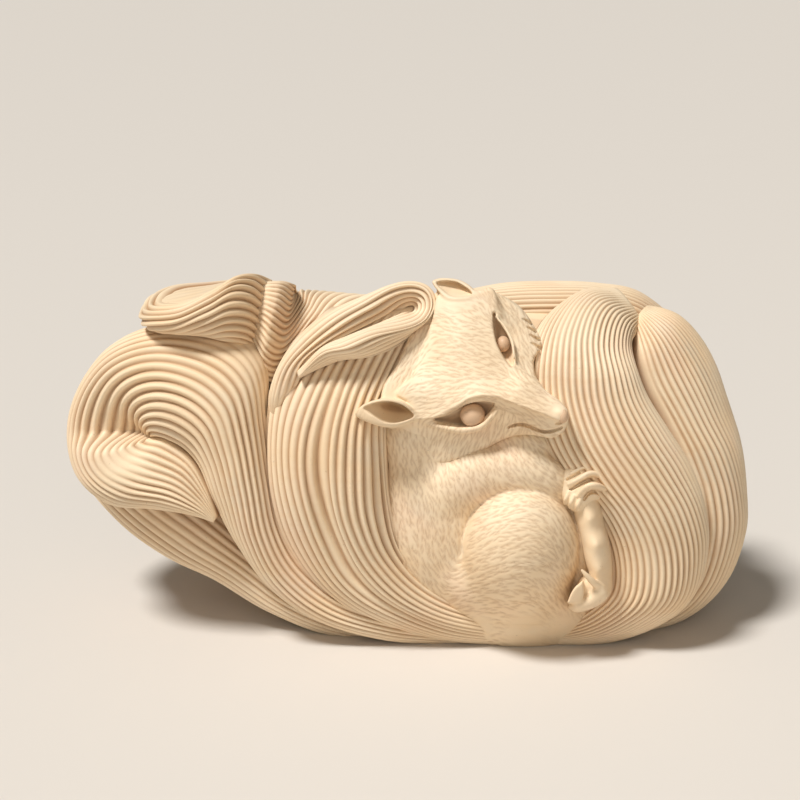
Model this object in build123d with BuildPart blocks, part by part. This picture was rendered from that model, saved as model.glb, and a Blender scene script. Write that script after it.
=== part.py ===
"""A fox curled up among its nine ridged tails, carved from one block of pale boxwood.

Every carved member is a solid of its own: the core, nine tails, and the fox's head, ears, eyes, nose,
back, shoulder, haunch, shank and paws. Each is roughed out in flat facets, as a carver blocks out the
wood, and seats face to face on its neighbours.

The frame: +X to the right as the fox is looked at, +Y to the back, +Z up, with the origin in the
middle of the flat foot that the carving rests on.
"""

from build123d import *
from itertools import pairwise, zip_longest
from math import cos, pi, radians, sin
import os

# The block that the carving is cut from, in millimetres.
carving_length = 80.0
carving_depth = 42.0
half_depth = carving_depth / 2

# The front drawing that the outlines are taken from. It is a square picture, seen from in front and a
# little above. Places on it are pixels, across and down from its top left corner.
drawn_length_pixels = 680
middle_pixels = (402, 400)
eye_distance = 200.0
eye_tilt = 16.0
aim_height = 27.0
drawing_scale = carving_length / drawn_length_pixels

# Small carved details, in millimetres.
near_eye_radius = 1.35
far_eye_radius = 1.2
nose_radius = 0.95

# How finely the members are roughed out: facets across a member's outside and inside, and rings
# of facets from one cross-section of its table to the next.
outside_facets = 8
inside_facets = 3
rings_between = 2
bead_turn_shares = (0.12, 0.3, 0.5, 0.7, 0.88)
valley_sharpness = 8

# Ways that a cross-section can face.
front = Vector(0, -1, 0)
back = Vector(0, 1, 0)
left = Vector(-1, 0, 0)
right = Vector(1, 0, 0)
up = Vector(0, 0, 1)
down = Vector(0, 0, -1)

eye_ahead = Vector(0, cos(radians(eye_tilt)), -sin(radians(eye_tilt)))
eye_up = Vector(0, sin(radians(eye_tilt)), cos(radians(eye_tilt)))
eye_point = Vector(0, 0, aim_height) - eye_ahead * eye_distance


def spot(across_pixels, down_pixels, depth_share):
    """The point that lies at a place of the front drawing, this far back in the block."""
    across = right * (across_pixels - middle_pixels[0]) * drawing_scale
    upward = eye_up * (middle_pixels[1] - down_pixels) * drawing_scale
    ray = eye_ahead * eye_distance + across + upward
    return eye_point + ray * ((depth_share * half_depth - eye_point.Y) / ray.Y)


def between(before, start, end, after, share):
    """A value on the smooth curve from start to end, which also heeds the values beside them."""
    slope = (end - before) * share
    bend = (before * 2 - start * 5 + end * 4 - after) * share**2
    twist = (start * 3 - before - end * 3 + after) * share**3
    return (start * 2 + slope + bend + twist) / 2


def section_ring(low, high, outward, inward, facing, lean, valley):
    """The corners of one cross-section: two half ellipses that meet at its low and high edges.

    The lean moves the outside's swelling towards the high edge, and the valley sinks its middle.
    """
    across = high - low
    plane = Plane(origin=(low + high) / 2, x_dir=across, z_dir=across.cross(facing))
    half_width = across.length / 2
    corners = []
    for side, swell, facets in ((1, outward, outside_facets), (-1, inward, inside_facets)):
        for step in range(facets):
            angle = pi * step / facets
            height = sin(angle)
            if side > 0:
                height = height * (1 + lean * cos(angle)) - valley * height**valley_sharpness
            place = Vector(half_width * cos(angle), swell * height) * side
            corners.append(plane.from_local_coords(place))
    return corners


def faceted(sections):
    """A solid of flat facets, in rings from one cross-section to the next."""
    sections = [sections[0], *sections, sections[-1]]
    rings = []
    for before, start, end, after in zip(sections, sections[1:], sections[2:], sections[3:]):
        for step in range(rings_between):
            values = [between(*four, step / rings_between) for four in zip(before, start, end, after)]
            rings.append(section_ring(*values))
    rings.append(section_ring(*sections[-1]))
    facets = [Face(Wire.make_polygon(rings[0])), Face(Wire.make_polygon(rings[-1]))]
    for ring, following in pairwise(rings):
        for first, second, third, fourth in zip(
            ring, ring[1:] + ring[:1], following[1:] + following[:1], following
        ):
            facets.append(Face(Wire.make_polygon([first, second, third])))
            facets.append(Face(Wire.make_polygon([first, third, fourth])))
    return Solid(Shell(facets))


def form(shares, lean_shares=(), valley_shares=()):
    """A member's solid, through the cross-sections of its table."""
    sections = []
    for row, lean, valley in zip_longest(shares, lean_shares, valley_shares, fillvalue=0):
        low, high, out_share, in_share, facing = row
        swells = (out_share * half_depth, in_share * half_depth)
        sections.append((spot(*low), spot(*high), *swells, facing.normalized(), lean, valley))
    return faceted(sections)


def bead(centre_shares, radius):
    """A ball of facets about a place of the front drawing."""
    centre = spot(*centre_shares)
    sections = []
    for turn_share in bead_turn_shares:
        reach, half_width = radius * cos(pi * turn_share), radius * sin(pi * turn_share)
        middle = centre + left * reach
        edges = (middle + down * half_width, middle + up * half_width)
        sections.append((*edges, half_width, half_width, front, 0, 0))
    return faceted(sections)


def make_room(*neighbours):
    """Cut the neighbours' room from the member that is being made, and keep its main piece."""
    for neighbour in neighbours:
        add(neighbour.part, mode=Mode.SUBTRACT, clean=False)
    if len(solids()) > 1:
        add(solids().sort_by(SortBy.VOLUME)[-1], mode=Mode.REPLACE)


def flat_foot():
    """Cut the member that is being made flat where the carving rests."""
    split(bisect_by=Plane.XY, keep=Keep.TOP)


# The tables hold one cross-section a row: the low edge and the high edge, each as pixels across, pixels
# down and depth, then how far the section swells outwards and inwards, and the way that it faces.
# Depths and swells are shares of half the block's depth.

# The fox's head, from the back of its skull to the tip of its muzzle.
head_shares = [
    ((404, 402, -0.50), (434, 300, -0.36), 0.06, 0.25, front),
    ((412, 436, -0.50), (446, 287, -0.34), 0.16, 0.33, front),
    ((430, 462, -0.52), (468, 285, -0.34), 0.24, 0.35, front),
    ((456, 460, -0.54), (494, 296, -0.35), 0.28, 0.35, front),
    ((482, 450, -0.56), (518, 316, -0.38), 0.27, 0.33, front),
    ((504, 441, -0.60), (535, 345, -0.44), 0.24, 0.30, front),
    ((523, 437, -0.64), (544, 374, -0.54), 0.19, 0.25, front),
    ((541, 438, -0.67), (556, 394, -0.62), 0.15, 0.20, front),
    ((555, 436, -0.69), (566, 404, -0.68), 0.12, 0.15, front),
    ((562, 430, -0.70), (570, 411, -0.70), 0.06, 0.08, front),
]
head_lean_shares = (0, -0.2, -0.3, -0.3, -0.3, -0.3, -0.2)
near_ear_shares = [
    ((359, 412, -0.52), (362, 405, -0.50), 0.03, 0.05, front + up),
    ((369, 424, -0.56), (373, 400, -0.50), 0.08, 0.10, front + up),
    ((388, 428, -0.58), (390, 398, -0.50), 0.10, 0.14, front + up),
    ((406, 427, -0.58), (405, 401, -0.50), 0.10, 0.14, front + up),
    ((424, 424, -0.56), (420, 408, -0.50), 0.06, 0.10, front + up),
]
near_ear_hollow_shares = [
    ((365, 413, -0.62), (368, 407, -0.60), 0.05, 0.05, front + up),
    ((388, 423, -0.66), (390, 404, -0.60), 0.08, 0.12, front + up),
    ((408, 421, -0.64), (407, 409, -0.60), 0.05, 0.05, front + up),
]
far_ear_shares = [
    ((433, 296, -0.33), (432, 281, -0.24), 0.02, 0.10, up),
    ((446, 300, -0.34), (446, 279, -0.20), 0.04, 0.20, up),
    ((463, 300, -0.34), (464, 281, -0.20), 0.04, 0.20, up),
    ((480, 295, -0.33), (480, 288, -0.24), 0.02, 0.10, up),
]
far_ear_hollow_shares = [
    ((437, 288, -0.30), (437, 281, -0.26), 0.03, 0.04, up),
    ((453, 291, -0.31), (453, 278, -0.24), 0.06, 0.08, up),
    ((470, 291, -0.30), (470, 284, -0.27), 0.03, 0.04, up),
]
near_socket_shares = [
    ((434, 421, -0.71), (437, 417, -0.71), 0.03, 0.03, front),
    ((455, 425, -0.77), (455, 407, -0.77), 0.08, 0.10, front),
    ((478, 423, -0.79), (476, 396, -0.79), 0.08, 0.10, front),
    ((497, 407, -0.81), (495, 400, -0.81), 0.03, 0.04, front),
]
far_socket_shares = [
    ((494, 316, -0.51), (499, 318, -0.49), 0.04, 0.03, front),
    ((496, 335, -0.59), (508, 333, -0.56), 0.08, 0.06, front),
    ((502, 352, -0.62), (513, 350, -0.59), 0.07, 0.05, front),
    ((509, 366, -0.65), (513, 364, -0.64), 0.03, 0.03, front),
]
near_eye_shares = (473, 414, -0.71)
far_eye_shares = (503, 343, -0.54)
nose_shares = (563, 413, -0.78)

torso_shares = [
    ((398, 416, -0.42), (450, 395, -0.44), 0.12, 0.30, front),
    ((383, 452, -0.42), (500, 440, -0.48), 0.16, 0.35, front),
    ((380, 492, -0.44), (520, 482, -0.50), 0.17, 0.35, front),
    ((384, 530, -0.46), (522, 530, -0.50), 0.17, 0.35, front),
    ((400, 564, -0.47), (525, 572, -0.50), 0.17, 0.35, front),
    ((434, 596, -0.47), (545, 595, -0.48), 0.16, 0.30, front),
    ((482, 622, -0.44), (565, 612, -0.46), 0.12, 0.25, front),
]
shoulder_shares = [
    ((440, 530, -0.54), (420, 452, -0.48), 0.10, 0.25, front),
    ((468, 516, -0.58), (458, 458, -0.52), 0.14, 0.25, front),
    ((498, 499, -0.60), (492, 448, -0.54), 0.15, 0.25, front),
    ((528, 491, -0.60), (520, 443, -0.52), 0.15, 0.25, front),
    ((554, 493, -0.57), (548, 452, -0.50), 0.14, 0.25, front),
    ((572, 495, -0.54), (566, 468, -0.50), 0.10, 0.20, front),
]
haunch_shares = [
    ((504, 498, -0.60), (540, 496, -0.60), 0.08, 0.15, front),
    ((480, 514, -0.60), (560, 510, -0.60), 0.22, 0.25, front),
    ((465, 540, -0.58), (574, 535, -0.58), 0.31, 0.30, front),
    ((459, 570, -0.55), (581, 565, -0.56), 0.34, 0.30, front),
    ((462, 600, -0.50), (577, 593, -0.52), 0.30, 0.30, front),
    ((474, 624, -0.44), (566, 620, -0.46), 0.20, 0.25, front),
    ((500, 641, -0.38), (546, 640, -0.40), 0.08, 0.15, front),
]
shank_shares = [
    ((578, 498, -0.60), (602, 496, -0.60), 0.12, 0.20, front),
    ((580, 520, -0.61), (607, 515, -0.61), 0.14, 0.25, front),
    ((583, 545, -0.61), (612, 545, -0.60), 0.15, 0.25, front),
    ((587, 570, -0.60), (614, 572, -0.59), 0.14, 0.25, front),
    ((591, 592, -0.60), (613, 598, -0.58), 0.11, 0.20, front),
]
hind_paw_shares = [
    ((610, 607, -0.55), (614, 582, -0.55), 0.08, 0.20, front),
    ((594, 609, -0.62), (592, 580, -0.62), 0.13, 0.20, front),
    ((580, 607, -0.66), (576, 580, -0.66), 0.12, 0.20, front),
    ((567, 602, -0.66), (569, 592, -0.66), 0.06, 0.12, front),
]
forepaw_shares = [
    ((559, 504, -0.57), (558, 476, -0.55), 0.10, 0.20, front),
    ((574, 509, -0.60), (572, 466, -0.57), 0.15, 0.20, front),
    ((590, 505, -0.60), (590, 464, -0.57), 0.16, 0.20, front),
    ((603, 497, -0.59), (602, 469, -0.56), 0.13, 0.20, front),
    ((610, 489, -0.57), (608, 477, -0.56), 0.07, 0.12, front),
]

# The tail that folds over above the fox's brow, from its root to the tip of its lip.
brow_tail_shares = [
    ((268, 420, -0.40), (286, 414, -0.44), 0.08, 0.15, front),
    ((272, 388, -0.37), (304, 384, -0.47), 0.14, 0.18, front),
    ((288, 358, -0.32), (322, 352, -0.46), 0.17, 0.20, front),
    ((312, 333, -0.26), (345, 337, -0.41), 0.18, 0.20, front),
    ((341, 311, -0.20), (370, 327, -0.34), 0.18, 0.20, front),
    ((372, 296, -0.17), (392, 316, -0.27), 0.16, 0.18, front),
    ((402, 288, -0.17), (406, 308, -0.22), 0.13, 0.15, front),
    ((422, 288, -0.18), (411, 307, -0.22), 0.13, 0.15, front),
    ((434, 300, -0.21), (411, 309, -0.24), 0.13, 0.15, front),
    ((425, 321, -0.27), (404, 315, -0.29), 0.14, 0.15, front),
    ((399, 343, -0.40), (381, 325, -0.38), 0.16, 0.15, front),
    ((368, 355, -0.50), (352, 336, -0.50), 0.15, 0.15, front),
    ((336, 359, -0.54), (328, 346, -0.54), 0.11, 0.12, front),
    ((302, 377, -0.54), (299, 371, -0.54), 0.04, 0.06, front),
]
# The tail that comes down beside the fox's back and runs under its haunch.
side_tail_shares = [
    ((325, 312, -0.10), (430, 303, -0.15), 0.18, 0.35, front),
    ((290, 345, -0.20), (418, 335, -0.30), 0.24, 0.35, front),
    ((272, 385, -0.28), (400, 372, -0.42), 0.28, 0.35, front),
    ((266, 435, -0.33), (385, 410, -0.48), 0.28, 0.35, front),
    ((270, 490, -0.36), (382, 458, -0.52), 0.26, 0.35, front),
    ((288, 542, -0.37), (386, 505, -0.53), 0.22, 0.35, front),
    ((324, 588, -0.37), (398, 548, -0.52), 0.18, 0.35, front),
    ((376, 617, -0.36), (430, 580, -0.51), 0.15, 0.28, front),
    ((450, 636, -0.34), (484, 604, -0.48), 0.12, 0.21, front),
    ((560, 642, -0.34), (570, 622, -0.42), 0.08, 0.14, front),
]
side_tail_valley_shares = (0, 0.05, 0.15, 0.2, 0.2, 0.2, 0.12, 0.05)
# The big curl at the left: its band comes up from the foot and turns over, and its lip folds in.
left_curl_shares = [
    ((500, 643, -0.32), (505, 628, -0.36), 0.06, 0.10, front),
    ((440, 641, -0.32), (452, 618, -0.38), 0.10, 0.15, front),
    ((380, 634, -0.32), (402, 604, -0.42), 0.14, 0.20, front),
    ((318, 612, -0.30), (350, 584, -0.42), 0.18, 0.25, front),
    ((268, 580, -0.29), (312, 552, -0.41), 0.20, 0.30, front),
    ((234, 540, -0.28), (288, 514, -0.40), 0.24, 0.35, front),
    ((214, 500, -0.27), (276, 466, -0.38), 0.27, 0.40, front),
    ((199, 467, -0.25), (271, 414, -0.34), 0.30, 0.45, front),
    ((184, 446, -0.22), (262, 364, -0.28), 0.32, 0.50, front),
    ((170, 432, -0.20), (223, 339, -0.20), 0.34, 0.50, front),
    ((156, 424, -0.18), (160, 335, -0.12), 0.35, 0.50, front),
    ((144, 424, -0.16), (103, 356, -0.08), 0.35, 0.50, front),
    ((138, 431, -0.14), (70, 418, -0.05), 0.33, 0.48, front),
    ((144, 438, -0.18), (77, 473, -0.08), 0.31, 0.45, front),
    ((160, 446, -0.26), (110, 503, -0.18), 0.28, 0.40, front),
    ((182, 466, -0.34), (156, 510, -0.28), 0.20, 0.30, front),
    ((201, 492, -0.40), (191, 516, -0.36), 0.12, 0.20, front),
    ((216, 517, -0.42), (214, 523, -0.42), 0.04, 0.08, front),
]
left_curl_lean_shares = (0, 0, 0, 0, 0, 0, 0, 0.1, 0.3, 0.6, 0.9, 1.0, 1.0, 0.8, 0.4, 0.1)
# The broad tail right of the fox, which hangs over the top and turns in under its paws.
right_band_shares = [
    ((616, 289, 0.12), (642, 322, 0.00), 0.10, 0.21, front + up * 0.3),
    ((582, 292, 0.05), (636, 332, -0.14), 0.18, 0.28, front + up * 0.3),
    ((550, 312, -0.12), (632, 345, -0.24), 0.26, 0.35, front),
    ((534, 345, -0.24), (637, 368, -0.32), 0.30, 0.35, front),
    ((532, 385, -0.30), (648, 396, -0.37), 0.30, 0.35, front),
    ((540, 425, -0.36), (668, 428, -0.39), 0.30, 0.35, front),
    ((558, 462, -0.40), (688, 460, -0.38), 0.30, 0.35, front),
    ((588, 500, -0.44), (702, 498, -0.37), 0.28, 0.35, front),
    ((606, 540, -0.46), (706, 538, -0.35), 0.26, 0.35, front),
    ((608, 580, -0.46), (694, 582, -0.33), 0.24, 0.35, front),
    ((590, 606, -0.45), (666, 614, -0.31), 0.18, 0.28, front),
    ((556, 622, -0.42), (615, 635, -0.30), 0.14, 0.21, front),
    ((500, 631, -0.40), (550, 644, -0.30), 0.08, 0.14, front),
]
# The tail that rounds the right end.
outer_tail_shares = [
    ((634, 322, -0.05), (648, 310, 0.15), 0.06, 0.10, front + up),
    ((641, 352, -0.22), (672, 320, 0.22), 0.14, 0.28, front + up + right),
    ((652, 386, -0.28), (694, 348, 0.28), 0.18, 0.35, front + up * 0.5 + right),
    ((672, 424, -0.32), (706, 386, 0.32), 0.20, 0.35, front * 0.5 + right),
    ((690, 460, -0.34), (712, 430, 0.34), 0.22, 0.35, front * 0.4 + right),
    ((702, 498, -0.35), (713, 480, 0.35), 0.22, 0.35, front * 0.3 + right),
    ((705, 538, -0.34), (709, 520, 0.33), 0.22, 0.35, front * 0.3 + right),
    ((692, 582, -0.32), (695, 556, 0.30), 0.20, 0.35, front * 0.3 + right + down * 0.3),
    ((664, 612, -0.30), (668, 582, 0.25), 0.16, 0.28, right + down * 0.8),
    ((615, 630, -0.30), (620, 604, 0.15), 0.10, 0.17, right * 0.5 + down),
]
# The bun of a curl at the top left: its wall goes round an upright axis, and its top is dished.
crown_wall_shares = [
    ((266, 362, -0.16), (276, 284, -0.04), 0.08, 0.16, front),
    ((250, 358, -0.26), (262, 276, -0.14), 0.12, 0.16, front),
    ((226, 354, -0.33), (236, 290, -0.27), 0.15, 0.16, front),
    ((196, 350, -0.36), (202, 299, -0.34), 0.17, 0.16, front),
    ((168, 350, -0.32), (172, 303, -0.31), 0.16, 0.16, front + left * 0.7),
    ((154, 348, -0.20), (154, 300, -0.20), 0.13, 0.16, left),
    ((155, 340, -0.02), (154, 292, -0.04), 0.12, 0.16, left + back * 0.3),
    ((174, 330, 0.12), (174, 285, 0.10), 0.12, 0.16, back + left * 0.5),
    ((205, 322, 0.18), (205, 282, 0.17), 0.12, 0.16, back),
    ((240, 320, 0.16), (246, 277, 0.14), 0.12, 0.16, back),
    ((272, 320, 0.12), (284, 283, 0.08), 0.10, 0.16, back),
]
crown_dish_shares = [
    ((160, 306, -0.24), (160, 298, 0.02), 0.02, 0.20, up),
    ((180, 310, -0.30), (180, 294, 0.08), 0.02, 0.30, up),
    ((210, 308, -0.32), (210, 291, 0.14), 0.02, 0.30, up),
    ((240, 302, -0.26), (242, 288, 0.12), 0.02, 0.30, up),
]
# The tail that fans out behind the bun and goes over the top to the back.
shoulder_tail_shares = [
    ((248, 376, -0.24), (262, 286, -0.12), 0.06, 0.25, front),
    ((264, 384, -0.26), (282, 281, -0.04), 0.16, 0.30, front),
    ((288, 372, -0.20), (300, 283, 0.10), 0.20, 0.35, front + up * 0.3),
    ((322, 350, -0.12), (290, 290, 0.36), 0.18, 0.35, front * 0.4 + up),
    ((372, 318, -0.08), (248, 318, 0.58), 0.16, 0.35, up + back * 0.4),
    ((436, 302, 0.02), (256, 378, 0.74), 0.16, 0.35, up + back),
    ((505, 299, 0.28), (362, 408, 0.82), 0.15, 0.35, back + up * 0.4),
    ((580, 312, 0.46), (482, 424, 0.83), 0.14, 0.35, back + up * 0.1),
    ((640, 350, 0.53), (580, 434, 0.79), 0.12, 0.30, back + right * 0.2),
    ((676, 412, 0.54), (655, 450, 0.62), 0.06, 0.15, back + right * 0.5),
]
# The tail underneath, which rounds the left end and runs along the middle of the back.
under_tail_shares = [
    ((430, 644, -0.24), (432, 632, -0.26), 0.05, 0.11, front),
    ((340, 632, -0.20), (352, 610, -0.25), 0.12, 0.22, front),
    ((270, 606, -0.14), (300, 584, -0.20), 0.15, 0.29, front),
    ((215, 573, -0.08), (258, 545, -0.16), 0.18, 0.32, front),
    ((165, 549, 0.00), (215, 505, -0.12), 0.20, 0.29, front),
    ((125, 520, 0.12), (165, 465, 0.00), 0.20, 0.27, front + left * 0.6),
    ((100, 485, 0.30), (112, 405, 0.22), 0.18, 0.27, left),
    ((128, 472, 0.52), (125, 374, 0.46), 0.18, 0.27, left + back),
    ((190, 487, 0.68), (184, 362, 0.64), 0.20, 0.31, back + left * 0.3),
    ((280, 500, 0.76), (274, 374, 0.78), 0.22, 0.32, back),
    ((380, 508, 0.80), (375, 398, 0.82), 0.22, 0.32, back),
    ((470, 510, 0.80), (475, 420, 0.82), 0.20, 0.27, back),
    ((545, 510, 0.76), (555, 438, 0.80), 0.16, 0.22, back),
    ((622, 500, 0.66), (628, 458, 0.70), 0.06, 0.10, back + right * 0.2),
]
# The tail that shows over the top at the right and sweeps down across the back.
top_tail_shares = [
    ((455, 318, -0.02), (462, 298, 0.32), 0.08, 0.20, up),
    ((500, 314, -0.02), (505, 292, 0.42), 0.10, 0.28, up),
    ((550, 312, 0.00), (552, 290, 0.46), 0.10, 0.28, up),
    ((600, 314, 0.05), (598, 292, 0.50), 0.10, 0.28, up),
    ((643, 334, 0.14), (632, 300, 0.56), 0.12, 0.28, up + right * 0.5 + back * 0.2),
    ((678, 382, 0.28), (658, 332, 0.66), 0.14, 0.28, up * 0.6 + right + back * 0.6),
    ((690, 450, 0.36), (655, 400, 0.76), 0.16, 0.30, back + right * 0.8),
    ((674, 525, 0.42), (620, 460, 0.84), 0.18, 0.34, back + right * 0.3),
    ((600, 580, 0.46), (550, 495, 0.86), 0.18, 0.34, back),
    ((480, 594, 0.50), (455, 500, 0.86), 0.18, 0.34, back),
    ((350, 588, 0.46), (350, 498, 0.82), 0.18, 0.34, back),
    ((255, 562, 0.38), (262, 490, 0.72), 0.16, 0.28, back + left * 0.2),
    ((190, 525, 0.32), (205, 490, 0.50), 0.08, 0.14, back + left * 0.5),
]
core_shares = [
    ((160, 500, 0.14), (160, 378, 0.14), 0.14, 0.20, front),
    ((220, 556, 0.12), (220, 332, 0.12), 0.28, 0.36, front),
    ((320, 624, 0.08), (320, 304, 0.10), 0.38, 0.50, front),
    ((450, 634, 0.05), (450, 300, 0.10), 0.42, 0.56, front),
    ((580, 630, 0.05), (580, 304, 0.10), 0.38, 0.50, front),
    ((660, 592, 0.08), (660, 348, 0.12), 0.28, 0.36, front),
    ((700, 536, 0.10), (700, 414, 0.12), 0.14, 0.20, front),
]

with BuildPart() as core:
    add(form(core_shares))
    flat_foot()

with BuildPart() as near_eye:
    add(bead(near_eye_shares, near_eye_radius))

with BuildPart() as far_eye:
    add(bead(far_eye_shares, far_eye_radius))

with BuildPart() as nose:
    add(bead(nose_shares, nose_radius))

with BuildPart() as head:
    add(form(head_shares, head_lean_shares))
    add(form(near_socket_shares), mode=Mode.SUBTRACT, clean=False)
    add(form(far_socket_shares), mode=Mode.SUBTRACT, clean=False)
    make_room(core, near_eye, far_eye, nose)

with BuildPart() as near_ear:
    add(form(near_ear_shares))
    add(form(near_ear_hollow_shares), mode=Mode.SUBTRACT, clean=False)
    make_room(head)

with BuildPart() as far_ear:
    add(form(far_ear_shares))
    add(form(far_ear_hollow_shares), mode=Mode.SUBTRACT, clean=False)
    make_room(core, head)

with BuildPart() as forepaw:
    add(form(forepaw_shares))
    make_room(core)

with BuildPart() as hind_paw:
    add(form(hind_paw_shares))
    make_room(core)

with BuildPart() as shank:
    add(form(shank_shares))
    make_room(core, forepaw, hind_paw)

with BuildPart() as haunch:
    add(form(haunch_shares))
    make_room(core, shank, hind_paw, forepaw)
    flat_foot()

with BuildPart() as shoulder:
    add(form(shoulder_shares))
    make_room(core, head, haunch, forepaw)

with BuildPart() as torso:
    add(form(torso_shares))
    make_room(core, head, near_ear, shoulder, haunch, shank, hind_paw)

with BuildPart() as brow_tail:
    add(form(brow_tail_shares))
    make_room(core, head, far_ear)

with BuildPart() as side_tail:
    add(form(side_tail_shares, valley_shares=side_tail_valley_shares))
    make_room(core, head, near_ear, brow_tail, torso, haunch)
    flat_foot()

with BuildPart() as left_curl_tail:
    add(form(left_curl_shares, left_curl_lean_shares))
    make_room(core, side_tail, brow_tail, haunch)
    flat_foot()

with BuildPart() as right_band_tail:
    add(form(right_band_shares))
    make_room(core, head, forepaw, shank, hind_paw, haunch, side_tail)
    flat_foot()

with BuildPart() as outer_tail:
    add(form(outer_tail_shares))
    make_room(core, right_band_tail)
    flat_foot()

with BuildPart() as crown_curl_tail:
    add(form(crown_wall_shares))
    add(form(crown_dish_shares))
    make_room(core, left_curl_tail)

with BuildPart() as under_tail:
    add(form(under_tail_shares))
    make_room(core, left_curl_tail, side_tail)
    flat_foot()

with BuildPart() as shoulder_tail:
    add(form(shoulder_tail_shares))
    make_room(core, crown_curl_tail, left_curl_tail, side_tail, brow_tail, under_tail)

with BuildPart() as top_tail:
    add(form(top_tail_shares))
    make_room(core, head, far_ear, brow_tail, right_band_tail, outer_tail, shoulder_tail, under_tail)
    flat_foot()

members = {
    "core": core,
    "left_curl_tail": left_curl_tail,
    "under_tail": under_tail,
    "crown_curl_tail": crown_curl_tail,
    "shoulder_tail": shoulder_tail,
    "side_tail": side_tail,
    "brow_tail": brow_tail,
    "right_band_tail": right_band_tail,
    "outer_tail": outer_tail,
    "top_tail": top_tail,
    "head": head,
    "near_ear": near_ear,
    "far_ear": far_ear,
    "near_eye": near_eye,
    "far_eye": far_eye,
    "nose": nose,
    "torso": torso,
    "shoulder": shoulder,
    "haunch": haunch,
    "shank": shank,
    "hind_paw": hind_paw,
    "forepaw": forepaw,
}

os.makedirs("parts", exist_ok=True)
for name, member in members.items():
    member.part.label = name
    export_step(member.part, f"parts/{name}.step")
    print(name, member.part.is_valid, len(member.solids()), round(member.part.volume, 1))
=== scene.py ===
"""Dress the fox carving: a fox asleep among its nine ridged tails, cut from one block of pale boxwood.

The solids of the frame give every member its place. Here each tail becomes a smooth band with its knife
ridges, and the fox becomes a carved animal with fur strokes, bead eyes and toes. All of it gets one
procedural boxwood finish. The tables are plain text, with the numbers row after row.
"""
import logging
import math
from dataclasses import dataclass
from enum import Enum
from typing import ClassVar

import bpy
import numpy as np
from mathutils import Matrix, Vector


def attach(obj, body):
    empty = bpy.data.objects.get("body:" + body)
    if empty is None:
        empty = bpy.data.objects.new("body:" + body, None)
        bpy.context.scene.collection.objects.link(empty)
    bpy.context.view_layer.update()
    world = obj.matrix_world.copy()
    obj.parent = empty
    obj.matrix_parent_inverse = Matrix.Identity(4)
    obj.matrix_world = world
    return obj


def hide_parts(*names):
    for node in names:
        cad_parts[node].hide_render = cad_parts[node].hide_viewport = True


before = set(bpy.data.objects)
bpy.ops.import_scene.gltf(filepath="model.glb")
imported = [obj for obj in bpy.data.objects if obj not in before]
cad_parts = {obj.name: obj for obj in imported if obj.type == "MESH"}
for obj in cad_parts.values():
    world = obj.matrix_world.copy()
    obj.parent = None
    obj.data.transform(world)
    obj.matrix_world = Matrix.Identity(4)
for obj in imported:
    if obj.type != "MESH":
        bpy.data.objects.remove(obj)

LOG = logging.getLogger("fox_carving")
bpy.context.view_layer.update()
METRES = 0.001
TINY = 1e-9
FAR_AWAY = 60.0
WELD = 2e-7
Triple = tuple[float, float, float]
Colour = tuple[float, float, float, float]


class Facing(Enum):
    """Ways that a cross-section of a tail can face, as across, back and up."""

    FRONT = (0.0, -1.0, 0.0)
    BACK = (0.0, 1.0, 0.0)
    LEFT = (-1.0, 0.0, 0.0)
    UP = (0.0, 0.0, 1.0)


def numbers(text: str, columns: int) -> np.ndarray:
    """Read a table of plain numbers.

    Args:
        text: the numbers, row after row.
        columns: how many numbers a row has.

    Returns:
        The table.
    """
    return np.array([*map(float, text.split())]).reshape(-1, columns)


def cross_sections(text: str) -> np.ndarray:
    """Read the cross-sections of a tail, one a line.

    A line has the low edge, the high edge, the outward and the inward swell, and the facing by its name or
    as three numbers. It faces the front where none is given.

    Args:
        text: the lines. Edges are pixels across, pixels down and a share of half the depth, as swells are.

    Returns:
        Eleven numbers for each.
    """
    rows = []
    for line in text.strip().splitlines():
        words = line.split()
        facing = words[8:] or [Facing.FRONT.name]
        way = Facing[facing[0]].value if len(facing) == 1 else Vector([*map(float, facing)]).normalized()
        rows.append([*map(float, words[:8]), *way])
    return np.array(rows)


def spline(before: np.ndarray, start: np.ndarray, end: np.ndarray, after: np.ndarray, share: float) -> np.ndarray:
    """Find places on a smooth curve between two points.

    Args:
        before: the point before the start.
        start: the first point.
        end: the second point.
        after: the point after the end.
        share: how far along the places are, from 0 to 1.

    Returns:
        The places.
    """
    slope = (end - before) * share
    bend = (before * 2 - start * 5 + end * 4 - after) * share**2
    twist = (start * 3 - before - end * 3 + after) * share**3
    return (start * 2 + slope + bend + twist) / 2


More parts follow.
